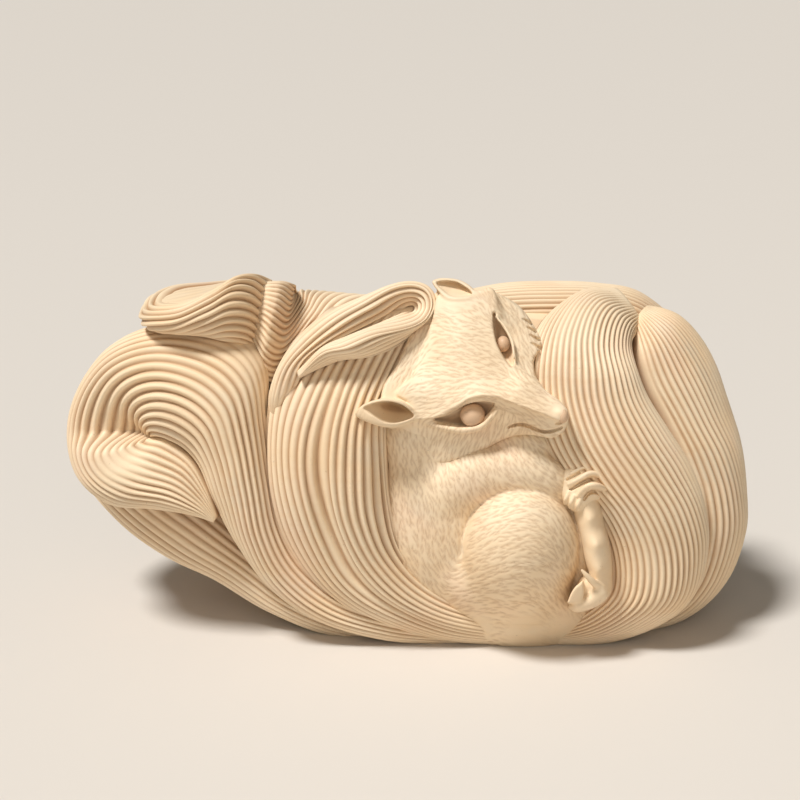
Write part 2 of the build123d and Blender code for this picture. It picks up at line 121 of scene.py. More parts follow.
@dataclass(frozen=True)
class Drawing:
    """The front drawing that the places are taken from, with the eye that sees it. Lengths are in mm."""

    scale: float = 80.0 / 680.0
    middle: tuple[float, float] = (402.0, 400.0)
    eye_distance: float = 200.0
    tilt: float = math.radians(16.0)
    aim_height: float = 27.0
    half_depth: float = 21.0

    @property
    def ahead(self) -> np.ndarray:
        """The way that the eye looks."""
        return np.array([0.0, math.cos(self.tilt), -math.sin(self.tilt)])

    @property
    def eye(self) -> np.ndarray:
        """The point that the drawing is seen from."""
        return np.array([0.0, 0.0, self.aim_height]) - self.ahead * self.eye_distance

    def depth(self, share: float) -> float:
        """Turn a share of half the block's depth into pixels."""
        return share * self.half_depth / self.scale

    def places(self, drawn: np.ndarray) -> np.ndarray:
        """Find the points that lie at places of the drawing.

        Args:
            drawn: rows of pixels across, pixels down and depth as a share of half the block.

        Returns:
            The points in mm, one row each.
        """
        drawn = np.asarray(drawn, float)
        upward = np.array([0.0, math.sin(self.tilt), math.cos(self.tilt)])
        across = (drawn[..., 0:1] - self.middle[0]) * self.scale * np.array([1.0, 0.0, 0.0])
        rise = (self.middle[1] - drawn[..., 1:2]) * self.scale * upward
        rays = self.ahead * self.eye_distance + across + rise
        reach = (drawn[..., 2:3] * self.half_depth - self.eye[1]) / rays[..., 1:2]
        return self.eye + rays * reach


DRAWING = Drawing()


class Workbench:
    """Steps of modelling that the pieces share."""

    @staticmethod
    def select(*pieces: bpy.types.Object) -> None:
        """Select some pieces and nothing else, so that an operator acts on them alone."""
        for thing in bpy.context.selected_objects:
            thing.select_set(False)
        for piece in pieces:
            piece.select_set(True)
            bpy.context.view_layer.objects.active = pieces[0]

    @staticmethod
    def skin(mesh: bpy.types.Mesh, points: np.ndarray, groove: np.ndarray) -> None:
        """Put the points of a mesh in their places, with the painted shade of each in its groove or hollow.

        What is below the floor is flattened onto the carving's flat foot.

        Args:
            mesh: the mesh.
            points: its points in mm.
            groove: how much painted shade each point gets, from 0 to 1.
        """
        placed = points * METRES
        placed[..., 2] = np.maximum(placed[..., 2], 0.0)
        mesh.vertices.foreach_set("co", placed.astype(np.float32).ravel())
        layer = mesh.attributes.new(name="groove", type="FLOAT", domain="POINT")
        layer.data.foreach_set("value", groove.astype(np.float32))

    @staticmethod
    def smooth(closing: bool = False) -> None:
        """Turn the selected piece's faces outwards and shade it smooth.

        Args:
            closing: true where its seam is welded and its ends are filled first.
        """
        bpy.ops.object.mode_set(mode="EDIT")
        bpy.ops.mesh.select_all(action="SELECT")
        if closing:
            bpy.ops.mesh.remove_doubles(threshold=WELD)
            bpy.ops.mesh.fill_holes(sides=0)
            bpy.ops.mesh.select_all(action="SELECT")
        bpy.ops.mesh.normals_make_consistent(inside=False)
        bpy.ops.object.mode_set(mode="OBJECT")
        bpy.ops.object.shade_smooth()

    @staticmethod
    def tube(name: str, rings: np.ndarray, groove: np.ndarray) -> bpy.types.Object:
        """Bend a primitive grid round into a closed tube, and close its ends.

        Args:
            name: the piece's name.
            rings: rings of points in mm, as an array of rings by points by three.
            groove: how much painted shade each point gets in the grooves.

        Returns:
            The new piece.
        """
        count, around = rings.shape[:2]
        Workbench.select()
        bpy.ops.mesh.primitive_grid_add(x_subdivisions=around, y_subdivisions=count - 1, size=1.0)
        piece = bpy.context.object
        piece.name = piece.data.name = name
        flat = np.zeros(len(piece.data.vertices) * 3, np.float32)
        piece.data.vertices.foreach_get("co", flat)
        flat = flat.reshape(-1, 3)
        across = np.rint((flat[:, 0] + 0.5) * around).astype(int) % around
        along = np.rint((flat[:, 1] + 0.5) * (count - 1)).astype(int)
        Workbench.skin(piece.data, rings[along, across], groove[along, across])
        piece.data.update()
        Workbench.smooth(closing=True)
        return piece

    @staticmethod
    def shell(name: str, points: np.ndarray, faces: np.ndarray, groove: np.ndarray) -> bpy.types.Object:
        """Make a piece from points and four-sided faces that are worked out in numbers.

        Args:
            name: the piece's name.
            points: the points in mm.
            faces: four point numbers a face.
            groove: how much painted shade each point gets in its grooves and hollows.

        Returns:
            The new piece.
        """
        mesh = bpy.data.meshes.new(name)
        mesh.vertices.add(len(points))
        mesh.loops.add(faces.size)
        mesh.loops.foreach_set("vertex_index", faces.astype(np.int32).ravel())
        mesh.polygons.add(len(faces))
        mesh.polygons.foreach_set("loop_start", np.arange(0, faces.size, 4, dtype=np.int32))
        Workbench.skin(mesh, points, groove)
        mesh.update(calc_edges=True)
        piece = bpy.data.objects.new(name, mesh)
        bpy.context.scene.collection.objects.link(piece)
        Workbench.select(piece)
        Workbench.smooth()
        return piece

    @staticmethod
    def seat(piece: bpy.types.Object, finish: bpy.types.Material, *nodes: str) -> None:
        """Give a finished piece its finish, and put it in the frame in the place of its nodes.

        Args:
            piece: the piece.
            finish: its material.
            nodes: the nodes of the frame that it stands for.
        """
        piece.data.materials.clear()
        piece.data.materials.append(finish)
        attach(piece, "root")
        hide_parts(*nodes)
        LOG.info("%s: %d faces for %s", piece.name, len(piece.data.polygons), ", ".join(nodes))


class Ripple:
    """Smooth seeded unevenness, a sum of waves that differ in length and way."""

    def __init__(self, seed: int, waves: int = 7) -> None:
        """Choose the waves.

        Args:
            seed: the number that fixes them.
            waves: how many are summed.
        """
        source = np.random.default_rng(seed)
        self.turns = source.uniform(0.6, 3.4, (waves, 2)) * source.choice([-1.0, 1.0], (waves, 2))
        self.starts = source.uniform(0.0, 2.0 * math.pi, waves)

    def at(self, along: np.ndarray, across: np.ndarray) -> np.ndarray:
        """Give the unevenness at places.

        Args:
            along: places along the piece.
            across: places across it.

        Returns:
            Numbers mostly between minus one and one.
        """
        waves = zip(self.turns, self.starts)
        total = sum(np.sin(turn[0] * along + turn[1] * across + start) for turn, start in waves)
        return total / math.sqrt(len(self.starts))


@dataclass(frozen=True)
class Dent:
    """A soft hollow in a tail's outside, or a swelling where its depth is below zero.

    Where sharp is below one, it reaches less far past its middle than before it.
    """

    along: float
    across: float
    long: float
    wide: float
    depth: float
    sharp: float = 1.0

    def weight(self, along: np.ndarray, over: np.ndarray) -> np.ndarray:
        """Give a soft round weight that is the depth at the dent's middle.

        Args:
            along: places along the tail, from 0 to 1.
            over: places across it, from 0 to 1.

        Returns:
            The weights.
        """
        past = along - self.along
        reach = np.where(past > 0, self.long * self.sharp, self.long)
        return self.depth * np.exp(-((past / reach) ** 2) - ((over - self.across) / self.wide) ** 2)


@dataclass(frozen=True)
class Ridges:
    """The knife ridges that run along a tail. Depths and pitches are in mm.

    They wander off their lines and differ in strength from patch to patch, and they fade at the tail's
    ends and edges. Their number follows from the pitch where one is given. They slide sideways at the
    tail's start, and painted shade darkens the grooves the deeper they are.
    """

    count: float
    depth: float
    crest: float = 0.70
    uneven: float = 0.10
    fade_start: float = 0.03
    fade_end: float = 0.03
    fade_edge: float = 0.03
    bold: tuple[Dent, ...] = ()
    pitch: float = 0.0
    slide: float = 0.0
    slide_reach: float = 0.07
    full_pitch: float = 0.75
    strengths: tuple[float, float] = (0.25, 1.25)
    deepest: float = 0.6
    # How deep a groove must be for full painted shade, and how tightly the painted shade keeps to its bottom.
    dark_depth: float = 0.25
    dark_power: float = 1.8
    patchy: float = 0.22
    wander: tuple[float, float] = (9.0, 4.0)
    patch_size: tuple[float, float] = (6.0, 9.0)


@dataclass(frozen=True)
class Tail:
    """One tail: a band through the cross-sections of its table, with ridges along its outside.

    Its steps are in mm. With more fullness than one, the band is flatter towards its edges. FINE is how
    many steps its length is measured in from one section to the next, and ANGLES the same for its width.
    The seed of its patches is PATCH_SEED further than its own.
    """

    name: str
    rows: np.ndarray
    ridges: Ridges
    seed: int
    dents: tuple[Dent, ...] = ()
    step_along: float = 0.36
    step_across: float = 0.115
    inside_points: int = 12
    fullness: float = 1.0
    thinnest: float = 0.02

    FINE: ClassVar[int] = 40
    ANGLES: ClassVar[int] = 160
    PATCH_SEED: ClassVar[int] = 40

    def sections(self) -> tuple[np.ndarray, np.ndarray, np.ndarray, np.ndarray, np.ndarray]:
        """Pass a smooth curve through the table's rows, and step along it evenly.

        Returns:
            The low edges, high edges, outward and inward swells and facings of all rings.
        """
        rows = self.rows
        edges = [DRAWING.places(rows[:, :3]), DRAWING.places(rows[:, 3:6])]
        table = np.hstack([*edges, rows[:, 6:8] * DRAWING.half_depth, rows[:, 8:]])
        last = len(table) - 1

        def through(places: np.ndarray) -> np.ndarray:
            """Give the table's values at places between its rows."""
            index = np.clip(np.floor(places).astype(int), 0, last - 1)
            around = [table[np.clip(index + shift, 0, last)] for shift in (-1, 0, 1, 2)]
            return spline(*around, (places - index)[:, None])

        fine = np.linspace(0, last, last * self.FINE + 1)
        values = through(fine)
        low, high = values[:, 0:3], values[:, 3:6]
        paths = [low, high, (low + high) / 2 + values[:, 8:11] * values[:, 6:7]]
        steps = np.max([np.linalg.norm(np.diff(path, axis=0), axis=1) for path in paths], axis=0)
        length = np.concatenate([[0.0], np.cumsum(steps)])
        count = int(length[-1] / self.step_along)
        values = through(np.interp(np.linspace(0, length[-1], count), length, fine))
        return values[:, 0:3], values[:, 3:6], values[:, 6], values[:, 7], values[:, 8:11]

    def rings(self) -> tuple[np.ndarray, np.ndarray]:
        """Work out the tail's surface.

        Returns:
            The rings of points in mm, and the painted shade of each point, from 0 to 1: darker deeper in a groove,
            and full on the hidden inside.
        """
        low, high, outward, inward, facing = self.sections()
        count = len(low)
        across = high - low
        half = np.linalg.norm(across, axis=1)[:, None] / 2
        sideways = across / (2 * half)
        out = facing - sideways * np.sum(facing * sideways, axis=1, keepdims=True)
        out /= np.linalg.norm(out, axis=1, keepdims=True)
        middle = (low + high)[:, None, :] / 2
        swell = np.maximum(outward, self.thinnest)[:, None]

        def placed(wide: np.ndarray, tall: np.ndarray) -> np.ndarray:
            """Places that lie so far sideways and so far outwards of every ring's middle."""
            return middle + sideways[:, None, :] * wide[:, :, None] + out[:, None, :] * tall[:, :, None]

        angles = np.linspace(0.0, math.pi, self.ANGLES)
        wide, tall = half * np.cos(angles), swell * np.sin(angles) ** self.fullness
        steps = np.hypot(np.diff(wide, axis=1), np.diff(tall, axis=1))
        arc = np.concatenate([np.zeros((count, 1)), np.cumsum(steps, axis=1)], axis=1)
        shares = np.linspace(0.0, 1.0, int(arc[:, -1].max() / self.step_across))
        spread = np.array([np.interp(shares * lengths[-1], lengths, angles) for lengths in arc])
        along = np.linspace(0.0, 1.0, count)[:, None] * np.ones_like(spread)
        over = np.ones((count, 1)) * shares[None, :]

        tall = swell * np.sin(spread) ** self.fullness
        for dent in self.dents:
            tall = tall - dent.weight(along, over)
        points = placed(half * np.cos(spread), tall)
        normals = np.cross(np.gradient(points, axis=1), np.gradient(points, axis=0))
        normals /= np.maximum(np.linalg.norm(normals, axis=2, keepdims=True), TINY)
        flip = np.sign(np.sum(normals * out[:, None, :], axis=2).mean())
        height, groove = self.carve(along, over, arc[:, -1:])
        points = points + normals * flip * height[:, :, None]

        angles = np.linspace(0.0, math.pi, self.inside_points + 2)[1:-1]
        inner = placed(-half * np.cos(angles), -inward[:, None] * np.sin(angles))
        return np.concatenate([points, inner], axis=1), np.hstack([groove, np.ones(inner.shape[:2])])

    def carve(self, along: np.ndarray, over: np.ndarray, widths: np.ndarray) -> tuple[np.ndarray, np.ndarray]:
        """Cut the ridges.

        Args:
            along: places along the tail, from 0 to 1.
            over: places across it, from 0 to 1.
            widths: the width of the tail's outside at every ring, in mm.

        Returns:
            The height to add at every place in mm, and the painted shade there, from 0 to 1, darker deeper in a
            groove.
        """
        ridges = self.ridges
        ripple, patches = Ripple(self.seed), Ripple(self.seed + self.PATCH_SEED)
        count = widths / ridges.pitch if ridges.pitch else ridges.count
        slide = ridges.slide * np.exp(-((along / ridges.slide_reach) ** 2))
        wander = ripple.at(along * ridges.wander[0], over * ridges.wander[1])
        phase = (over + slide) * count + ridges.uneven * wander
        wave = 0.5 + 0.5 * np.cos(2.0 * math.pi * phase)
        profile = wave * (1.0 - ridges.crest) + np.abs(np.cos(math.pi * phase)) * ridges.crest
        strength = ridges.depth * np.clip(widths / count / ridges.full_pitch, *ridges.strengths)
        patch = patches.at(along * ridges.patch_size[0], over * ridges.patch_size[1])
        strength = strength * (1.0 + ridges.patchy * patch)
        gain = sum((dent.weight(along, over) for dent in ridges.bold), 1.0)
        ends = np.clip(along / ridges.fade_start, 0, 1) * np.clip((1 - along) / ridges.fade_end, 0, 1)
        edges = np.clip(over / ridges.fade_edge, 0, 1) * np.clip((1 - over) / ridges.fade_edge, 0, 1)
        strength = np.clip(strength * gain, 0.0, ridges.deepest) * ends * edges
        # Painted shade in the grooves, darker where the ridges are cut deeper.
        darkness = (1.0 - profile) ** ridges.dark_power * np.clip(strength / ridges.dark_depth, 0.0, 1.0)
        return (profile - 1.0) * strength, darkness

    def model(self, name: str) -> bpy.types.Object:
        """Model the tail.

        Args:
            name: the piece's name.

        Returns:
            The piece.
        """
        return Workbench.tube(name, *self.rings())


class Clay:
    """A form that is built up and cut back in the drawing's own space, held as distances on a grid.

    The space is pixels across, pixels down, and depth in the same unit, less towards the viewer. The grid
    is DEEPER times coarser in depth, and a form's window reaches MARGIN steps past it. A rod is cut into
    BENDS straight bits between two of its points.
    """

    DEEPER: ClassVar[float] = 1.6
    MARGIN: ClassVar[int] = 3
    BENDS: ClassVar[int] = 4

    def __init__(self, low: Triple, high: Triple, step: float) -> None:
        """Set out the grid, which is coarser in depth.

        Args:
            low: its lowest corner, with the depth as a share of half the block.
            high: its highest corner.
            step: the distance between its points.
        """
        self.step = step
        self.steps = (step, step, step * self.DEEPER)
        ends = [(*corner[:2], DRAWING.depth(corner[2])) for corner in (low, high)]
        self.axes = [np.arange(a, b + s, s, dtype=np.float32) for a, b, s in zip(*ends, self.steps)]
        self.values = np.full([len(axis) for axis in self.axes], FAR_AWAY, np.float32)

    def window(self, low: np.ndarray, high: np.ndarray) -> tuple[tuple[slice, ...], list[np.ndarray]]:
        """Find the part of the grid that a form can reach.

        Args:
            low: the form's lowest corner.
            high: its highest corner.

        Returns:
            The part's slices, and its places along each axis, ready to be combined.
        """
        spans = [[int(np.searchsorted(axis, end)) for end in ends] for axis, *ends in zip(self.axes, low, high)]
        slices = tuple(slice(*span) for span in spans)
        shapes = ((-1, 1, 1), (1, -1, 1), (1, 1, -1))
        return slices, [axis[part].reshape(shape) for axis, part, shape in zip(self.axes, slices, shapes)]

    def blend(self, slices: tuple[slice, ...], other: np.ndarray, soft: float, away: bool) -> None:
        """Add or take away a form, with a soft seam.

        Args:
            slices: the part of the grid that it reaches.
            other: its distances there.
            soft: how wide the seam's fillet or rounding is.
            away: true where it is taken away.
        """
        here = self.values[slices]
        if away:
            mix = np.clip(0.5 - 0.5 * (here + other) / soft, 0.0, 1.0)
            self.values[slices] = here * (1 - mix) - other * mix + soft * mix * (1 - mix)
        else:
            mix = np.clip(0.5 + 0.5 * (other - here) / soft, 0.0, 1.0)
            self.values[slices] = other * (1 - mix) + here * mix - soft * mix * (1 - mix)

    def ball(self, centre: Triple, radii: Triple, turn: float = 0.0, soft: float = 6.0, away: bool = False) -> None:
        """Add or take away an egg shape.

        Args:
            centre: its middle.
            radii: its half sizes, before it is turned.
            turn: how far it is turned in the drawing, in degrees, clockwise as seen.
            soft: how soft its seam is.
            away: true where it is taken away.
        """
        reach = max(radii) + soft + self.MARGIN * self.step
        middle = np.array(centre, np.float32)
        slices, (x, y, z) = self.window(middle - reach, middle + reach)
        x, y, z = x - middle[0], y - middle[1], z - middle[2]
        cosine, sine = math.cos(math.radians(turn)), math.sin(math.radians(turn))
        sides = (x * cosine + y * sine, y * cosine - x * sine, z)
        near, far = (np.sqrt(sum((s / r**power) ** 2 for s, r in zip(sides, radii))) for power in (1, 2))
        self.blend(slices, near * (near - 1.0) / np.maximum(far, TINY), soft, away)

    def rod(self, path: str, soft: float, away: bool = False, flat: float = 1.0, draped: bool = False) -> None:
        """Add or take away a rounded rod that follows a path.

        Args:
            path: points across, down and in depth, each with its radius as the fourth number.
            soft: how soft its seam is.
            away: true where it is taken away.
            flat: how much deeper than wide it is.
            draped: true where the depths are counted from the form's front.
        """
        points = numbers(path, 4)
        if draped:
            points[:, 2] += [self.front(x, y) for x, y in points[:, :2].tolist()]
        fine = smooth_path(points, self.BENDS)
        lows, highs = fine[:, :3].min(axis=0), fine[:, :3].max(axis=0)
        reach = fine[:, 3].max() * max(flat, 1.0) + soft + self.MARGIN * self.step
        slices, (x, y, z) = self.window(lows - reach, highs + reach)
        best = None
        for start, end in zip(fine[:-1], fine[1:]):
            run = (end - start)[:3] * np.array([1.0, 1.0, 1.0 / flat])
            square = float(run @ run) + TINY
            dx, dy, dz = x - start[0], y - start[1], (z - start[2]) / flat
            share = np.clip((dx * run[0] + dy * run[1] + dz * run[2]) / square, 0.0, 1.0)
            apart = (dx - share * run[0]) ** 2 + (dy - share * run[1]) ** 2 + (dz - share * run[2]) ** 2
            distance = np.sqrt(apart) - (start[3] + share * (end[3] - start[3]))
            best = distance if best is None else np.minimum(best, distance)
        self.blend(slices, best.astype(np.float32), soft, away)

    def front(self, across: float, down: float) -> float:
        """Find the depth of the form's front at the grid's nearest place to one of the drawing."""
        places = [round((place - axis[0]) / self.step) for place, axis in zip((across, down), self.axes)]
        column = self.values[tuple(places)]
        index = max(int(np.argmax(column < 0)), 1)
        share = column[index] / (column[index] - column[index - 1])
        return float(self.axes[2][index] - share * self.steps[2])

    def layer(self, trace: "Trace", edge: float, soft: float, away: bool = False) -> None:
        """Add or take away a layer of relief that has a traced outline.

        Args:
            trace: its outline, and the depth of its surface.
            edge: how rounded the surface's edge is.
            soft: how soft its seam is.
            away: true where the wood in front of the surface is taken away.
        """
        border = trace.border()
        reach = edge + soft + self.MARGIN * self.step
        low = np.array([*(border.min(axis=0) - reach), self.axes[2][0]])
        high = np.array([*(border.max(axis=0) + reach), self.axes[2][-1] + self.step])
        slices, (x, y, z) = self.window(low, high)
        ground = trace.ground(x[..., 0], y[..., 0])
        slope = np.hypot(*np.gradient(ground, self.step))
        top = (ground[..., None] - z) / np.sqrt(1.0 + slope[..., None] ** 2) * (-1.0 if away else 1.0)
        side = trace.beyond(x[..., 0], y[..., 0])[..., None]
        mix = np.clip(0.5 + 0.5 * (top - side) / edge, 0.0, 1.0)
        distance = side * (1 - mix) + top * mix + edge * mix * (1 - mix)
        self.blend(slices, distance.astype(np.float32), soft, away)

    def keep_before(self, share: float, lean: float = 0.0) -> None:
        """Cut the form flat on the side that lies inside the block.

        Args:
            share: the depth of the flat at the form's top, as a share of half the block.
            lean: how much nearer the flat comes with every unit further down.
        """
        flat = DRAWING.depth(share) - lean * (self.axes[1] - self.axes[1][0])
        self.values = np.maximum(self.values, self.axes[2].reshape(1, 1, -1) - flat.reshape(1, -1, 1))

    def surface(self) -> tuple[np.ndarray, np.ndarray]:
        """Draw a skin of four-sided faces over the form, with one point in each cell that it crosses.

        Returns:
            The points in the drawing's space, and four point numbers a face.
        """
        inside = self.values < 0
        corners = [(i, j, k) for i in (0, 1) for j in (0, 1) for k in (0, 1)]
        size = [n - 1 for n in inside.shape]
        parts = [inside[tuple(slice(c, c + n) for c, n in zip(corner, size))] for corner in corners]
        total = sum(part.astype(np.int8) for part in parts)
        cells = np.argwhere((total > 0) & (total < len(corners)))
        number = np.full(size, -1, np.int64)
        number[tuple(cells.T)] = np.arange(len(cells))
        level = {corner: self.values[tuple((cells + corner).T)] for corner in corners}
        sums, counts = np.zeros((len(cells), 3)), np.zeros(len(cells))
        units = np.eye(3, dtype=int)
        for first in corners:
            for axis in (axis for axis in range(3) if not first[axis]):
                a, b = level[first], level[tuple((units[axis] + first).tolist())]
                crossing = (a < 0) != (b < 0)
                share = np.where(crossing, a / np.where(a == b, 1.0, a - b), 0.0)
                sums += (np.array(first)[None, :] + share[:, None] * units[axis]) * crossing[:, None]
                counts += crossing
        points = (cells + sums / counts[:, None]) * np.array(self.steps) + np.array([axis[0] for axis in self.axes])
        faces = []
        for axis in range(3):
            du, dv = units[(axis + 1) % 3], units[(axis + 2) % 3]
            lower = [slice(1, n) for n in size]
            upper = list(lower)
            lower[axis], upper[axis] = slice(0, size[axis]), slice(1, size[axis] + 1)
            a, b = inside[tuple(lower)], inside[tuple(upper)]
            for sign, mask in ((1, a & ~b), (-1, ~a & b)):
                spots = np.argwhere(mask) + du + dv
                ring = [spots - du - dv, spots - dv, spots, spots - du][::sign]
                faces.append(np.stack([number[tuple(corner.T)] for corner in ring], axis=1))
        return points, np.concatenate(faces)


@dataclass(frozen=True)
class Trace:
    """A closed outline in the drawing, and the depth of the surface within it at some places."""

    outline: str
    heights: str = ""
    slack: float = 30.0

    def border(self) -> np.ndarray:
        """Pass a smooth closed curve through the outline.

        Returns:
            Its points, the first one not repeated.
        """
        around = [np.roll(numbers(self.outline, 2), shift, axis=0) for shift in (1, 0, -1, -2)]
        return np.stack([spline(*around, share) for share in (0.0, 0.25, 0.5, 0.75)], axis=1).reshape(-1, 2)

    def beyond(self, x: np.ndarray, y: np.ndarray) -> np.ndarray:
        """Measure how far places lie outside the outline.

        Args:
            x: pixels across.
            y: pixels down.

        Returns:
            The distances, less than zero inside.
        """
        border = self.border()
        best, inside = np.inf, False
        for start, end in zip(border, np.roll(border, -1, axis=0)):
            run = end - start
            share = np.clip(((x - start[0]) * run[0] + (y - start[1]) * run[1]) / (run @ run + TINY), 0.0, 1.0)
            distance = np.hypot(x - start[0] - share * run[0], y - start[1] - share * run[1])
            rise = run[1] if abs(run[1]) > TINY else TINY
            crosses = ((start[1] > y) != (end[1] > y)) & (x < start[0] + run[0] * (y - start[1]) / rise)
            best, inside = np.minimum(best, distance), inside ^ crosses
        return np.where(inside, -best, best)

    def ground(self, x: np.ndarray, y: np.ndarray) -> np.ndarray:
        """Drape a smooth sheet over the known depths.

        Args:
            x: pixels across.
            y: pixels down.

        Returns:
            The sheet's depth at every place.
        """
        known = numbers(self.heights, 3)
        count = len(known)
        apart = np.hypot(known[:, None, 0] - known[None, :, 0], known[:, None, 1] - known[None, :, 1])
        flat = np.column_stack([np.ones(count), known[:, :2]])
        system = np.zeros((count + 3, count + 3))
        system[:count, :count] = apart**2 * np.log(apart + TINY) + self.slack * np.eye(count)
        system[:count, count:], system[count:, :count] = flat, flat.T
        weights = np.linalg.solve(system, np.concatenate([known[:, 2], np.zeros(3)]))
        far = np.hypot(x[..., None] - known[:, 0], y[..., None] - known[:, 1])
        return (far**2 * np.log(far + TINY)) @ weights[:count] + weights[-3] + weights[-2] * x + weights[-1] * y


def smooth_path(path: np.ndarray, between: int) -> np.ndarray:
    """Pass a smooth curve through three points or more.

    Args:
        path: the points, with any further numbers of theirs.
        between: how many steps there are from one point to the next.

    Returns:
        The finer points.
    """
    padded = np.vstack([path[:1], path, path[-1:]])
    spans = zip(padded, padded[1:], padded[2:], padded[3:])
    fine = [spline(*span, share) for span in spans for share in np.arange(between) / between]
    return np.array([*fine, path[-1]])


@dataclass(frozen=True)
class Fur:
    """Fine knife strokes that follow the lie of the fur in the drawing.

    The lie has rows of a place and the way there, and the bare spots are rows of a place and a radius.
    Lengths are in pixels, but the depth of a stroke is in mm.
    """

    spacing: float
    length: float
    depth: float
    width: float
    seed: int
    bare: str
    lie: str
    stray: float = 0.16
    blur: float = 120.0
    steps: int = 8
    margin: float = 4.0
    taper: float = 0.6
    blunt: float = 0.02
    bare_edge: float = 0.6

    def way(self, places: np.ndarray) -> np.ndarray:
        """Give the way that the fur lies.

        Args:
            places: rows of pixels across and down.

        Returns:
            A direction of unit length for each.
        """
        guides = numbers(self.lie, 4)
        weights = 1.0 / (np.sum((places[:, None, :] - guides[None, :, :2]) ** 2, axis=2) + self.blur) ** 1.5
        turns = 2.0 * np.arctan2(guides[:, 3], guides[:, 2])
        turn = np.arctan2(weights @ np.sin(turns), weights @ np.cos(turns)) / 2.0
        return np.stack([np.cos(turn), np.sin(turn)], axis=1)

    def strokes(self, low: np.ndarray, high: np.ndarray) -> np.ndarray:
        """Draw the strokes, each from a place of its own and astray by an angle of its own.

        Args:
            low: the lowest pixels across and down that they start from.
            high: the highest ones.

        Returns:
            The points of every stroke.
        """
        source = np.random.default_rng(self.seed)
        grid = np.mgrid[low[0] : high[0] : self.spacing, low[1] : high[1] : self.spacing].reshape(2, -1).T
        paths = [grid + source.uniform(-0.5, 0.5, grid.shape) * self.spacing]
        lengths = self.length * source.uniform(0.6, 1.25, len(grid))
        stray = source.normal(0.0, self.stray, len(grid))
        cosine, sine = np.cos(stray), np.sin(stray)
        before = self.way(paths[0])
        for _ in range(self.steps):
            way = self.way(paths[-1])
            way *= np.where(np.sum(way * before, axis=1) < 0, -1.0, 1.0)[:, None]
            before = way
            turned = [way[:, 0] * cosine - way[:, 1] * sine, way[:, 0] * sine + way[:, 1] * cosine]
            paths.append(paths[-1] + np.stack(turned, axis=1) * (lengths / self.steps)[:, None])
        return np.stack(paths, axis=1)

    def press(self, points: np.ndarray, normals: np.ndarray) -> np.ndarray:
        """Work out how deep the strokes cut at points.

        Args:
            points: points in the drawing's space.
            normals: the surface's directions there.

        Returns:
            The depth at every point, from 0 to 1.
        """
        order = np.argsort(points[:, 0])
        sorted_x = points[order, 0]
        pressed = np.zeros(len(points))
        for line in self.strokes(points[:, :2].min(axis=0), points[:, :2].max(axis=0)):
            low, high = line.min(axis=0) - self.margin, line.max(axis=0) + self.margin
            band = order[np.searchsorted(sorted_x, low[0]) : np.searchsorted(sorted_x, high[0])]
            near = band[(points[band, 1] > low[1]) & (points[band, 1] < high[1])]
            best, place = np.full(len(near), np.inf), np.zeros(len(near))
            for index, (start, end) in enumerate(zip(line[:-1], line[1:])):
                run, apart = end - start, points[near, :2] - start
                share = np.clip((apart @ run) / (run @ run), 0.0, 1.0)
                distance = np.sum((apart - share[:, None] * run) ** 2, axis=1)
                place = np.where(distance < best, (index + share) / self.steps, place)
                best = np.minimum(best, distance)
            taper = np.sin(math.pi * np.clip(place, self.blunt, 1 - self.blunt)) ** self.taper
            depth = np.clip(1.0 - np.sqrt(best) / self.width, 0.0, 1.0) * taper
            pressed[near] = np.maximum(pressed[near], depth)
        for x, y, radius in numbers(self.bare, 3):
            far = np.hypot(points[:, 0] - x, points[:, 1] - y) / radius
            pressed *= np.clip(2.0 * (far - self.bare_edge), 0.0, 1.0)
        return pressed * np.clip(-normals[:, 2] * 2.0, 0.0, 1.0)


def vertex_normals(points: np.ndarray, faces: np.ndarray) -> np.ndarray:
    """Work out the outward direction at every point of a skin.

    Args:
        points: the points.
        faces: four point numbers a face.

    Returns:
        A direction of unit length for each point.
    """
    cross = np.cross(points[faces[:, 2]] - points[faces[:, 0]], points[faces[:, 3]] - points[faces[:, 1]])
    normals = np.zeros_like(points)
    for corner in range(4):
        np.add.at(normals, faces[:, corner], cross)
    return normals / np.maximum(np.linalg.norm(normals, axis=1, keepdims=True), TINY)


class FoxPart:
    """A part of the fox that is shaped as clay, stroked with fur and seated in the frame.

    Its shades are outlines that get painted shade, each with how much; the fur strokes get painted shade as well.
    """

    NAME: ClassVar[str]
    NODES: ClassVar[tuple[str, ...]]
    FUR: ClassVar[Fur | None] = None
    SHADES: ClassVar[tuple[tuple[Trace, float], ...]] = ()
    STROKE_SHADE: ClassVar[float] = 0.5
    SHADE_BLUR: ClassVar[float] = 3.0

    def shape(self) -> Clay:
        """Shape the part. Each part has its own."""
        raise NotImplementedError

    def build(self, finish: bpy.types.Material) -> None:
        """Skin the clay, cut the fur, paint shade in the strokes and the shaded outlines, and seat the piece.

        Args:
            finish: the material.
        """
        points, faces = self.shape().surface()
        groove = np.zeros(len(points))
        if self.FUR:
            normals = vertex_normals(points, faces)
            groove = self.FUR.press(points, normals)
            points = points - normals * (groove * self.FUR.depth / DRAWING.scale)[:, None]
        # Painted shade in the fur strokes and inside the shaded outlines.
        groove = groove * self.STROKE_SHADE
        for trace, strength in self.SHADES:
            inside = np.clip(-trace.beyond(points[:, 0], points[:, 1]) / self.SHADE_BLUR, 0.0, 1.0)
            groove = np.maximum(groove, inside * strength)
        points[:, 2] *= DRAWING.scale / DRAWING.half_depth
        Workbench.seat(Workbench.shell(self.NAME, DRAWING.places(points), faces, groove), finish, *self.NODES)


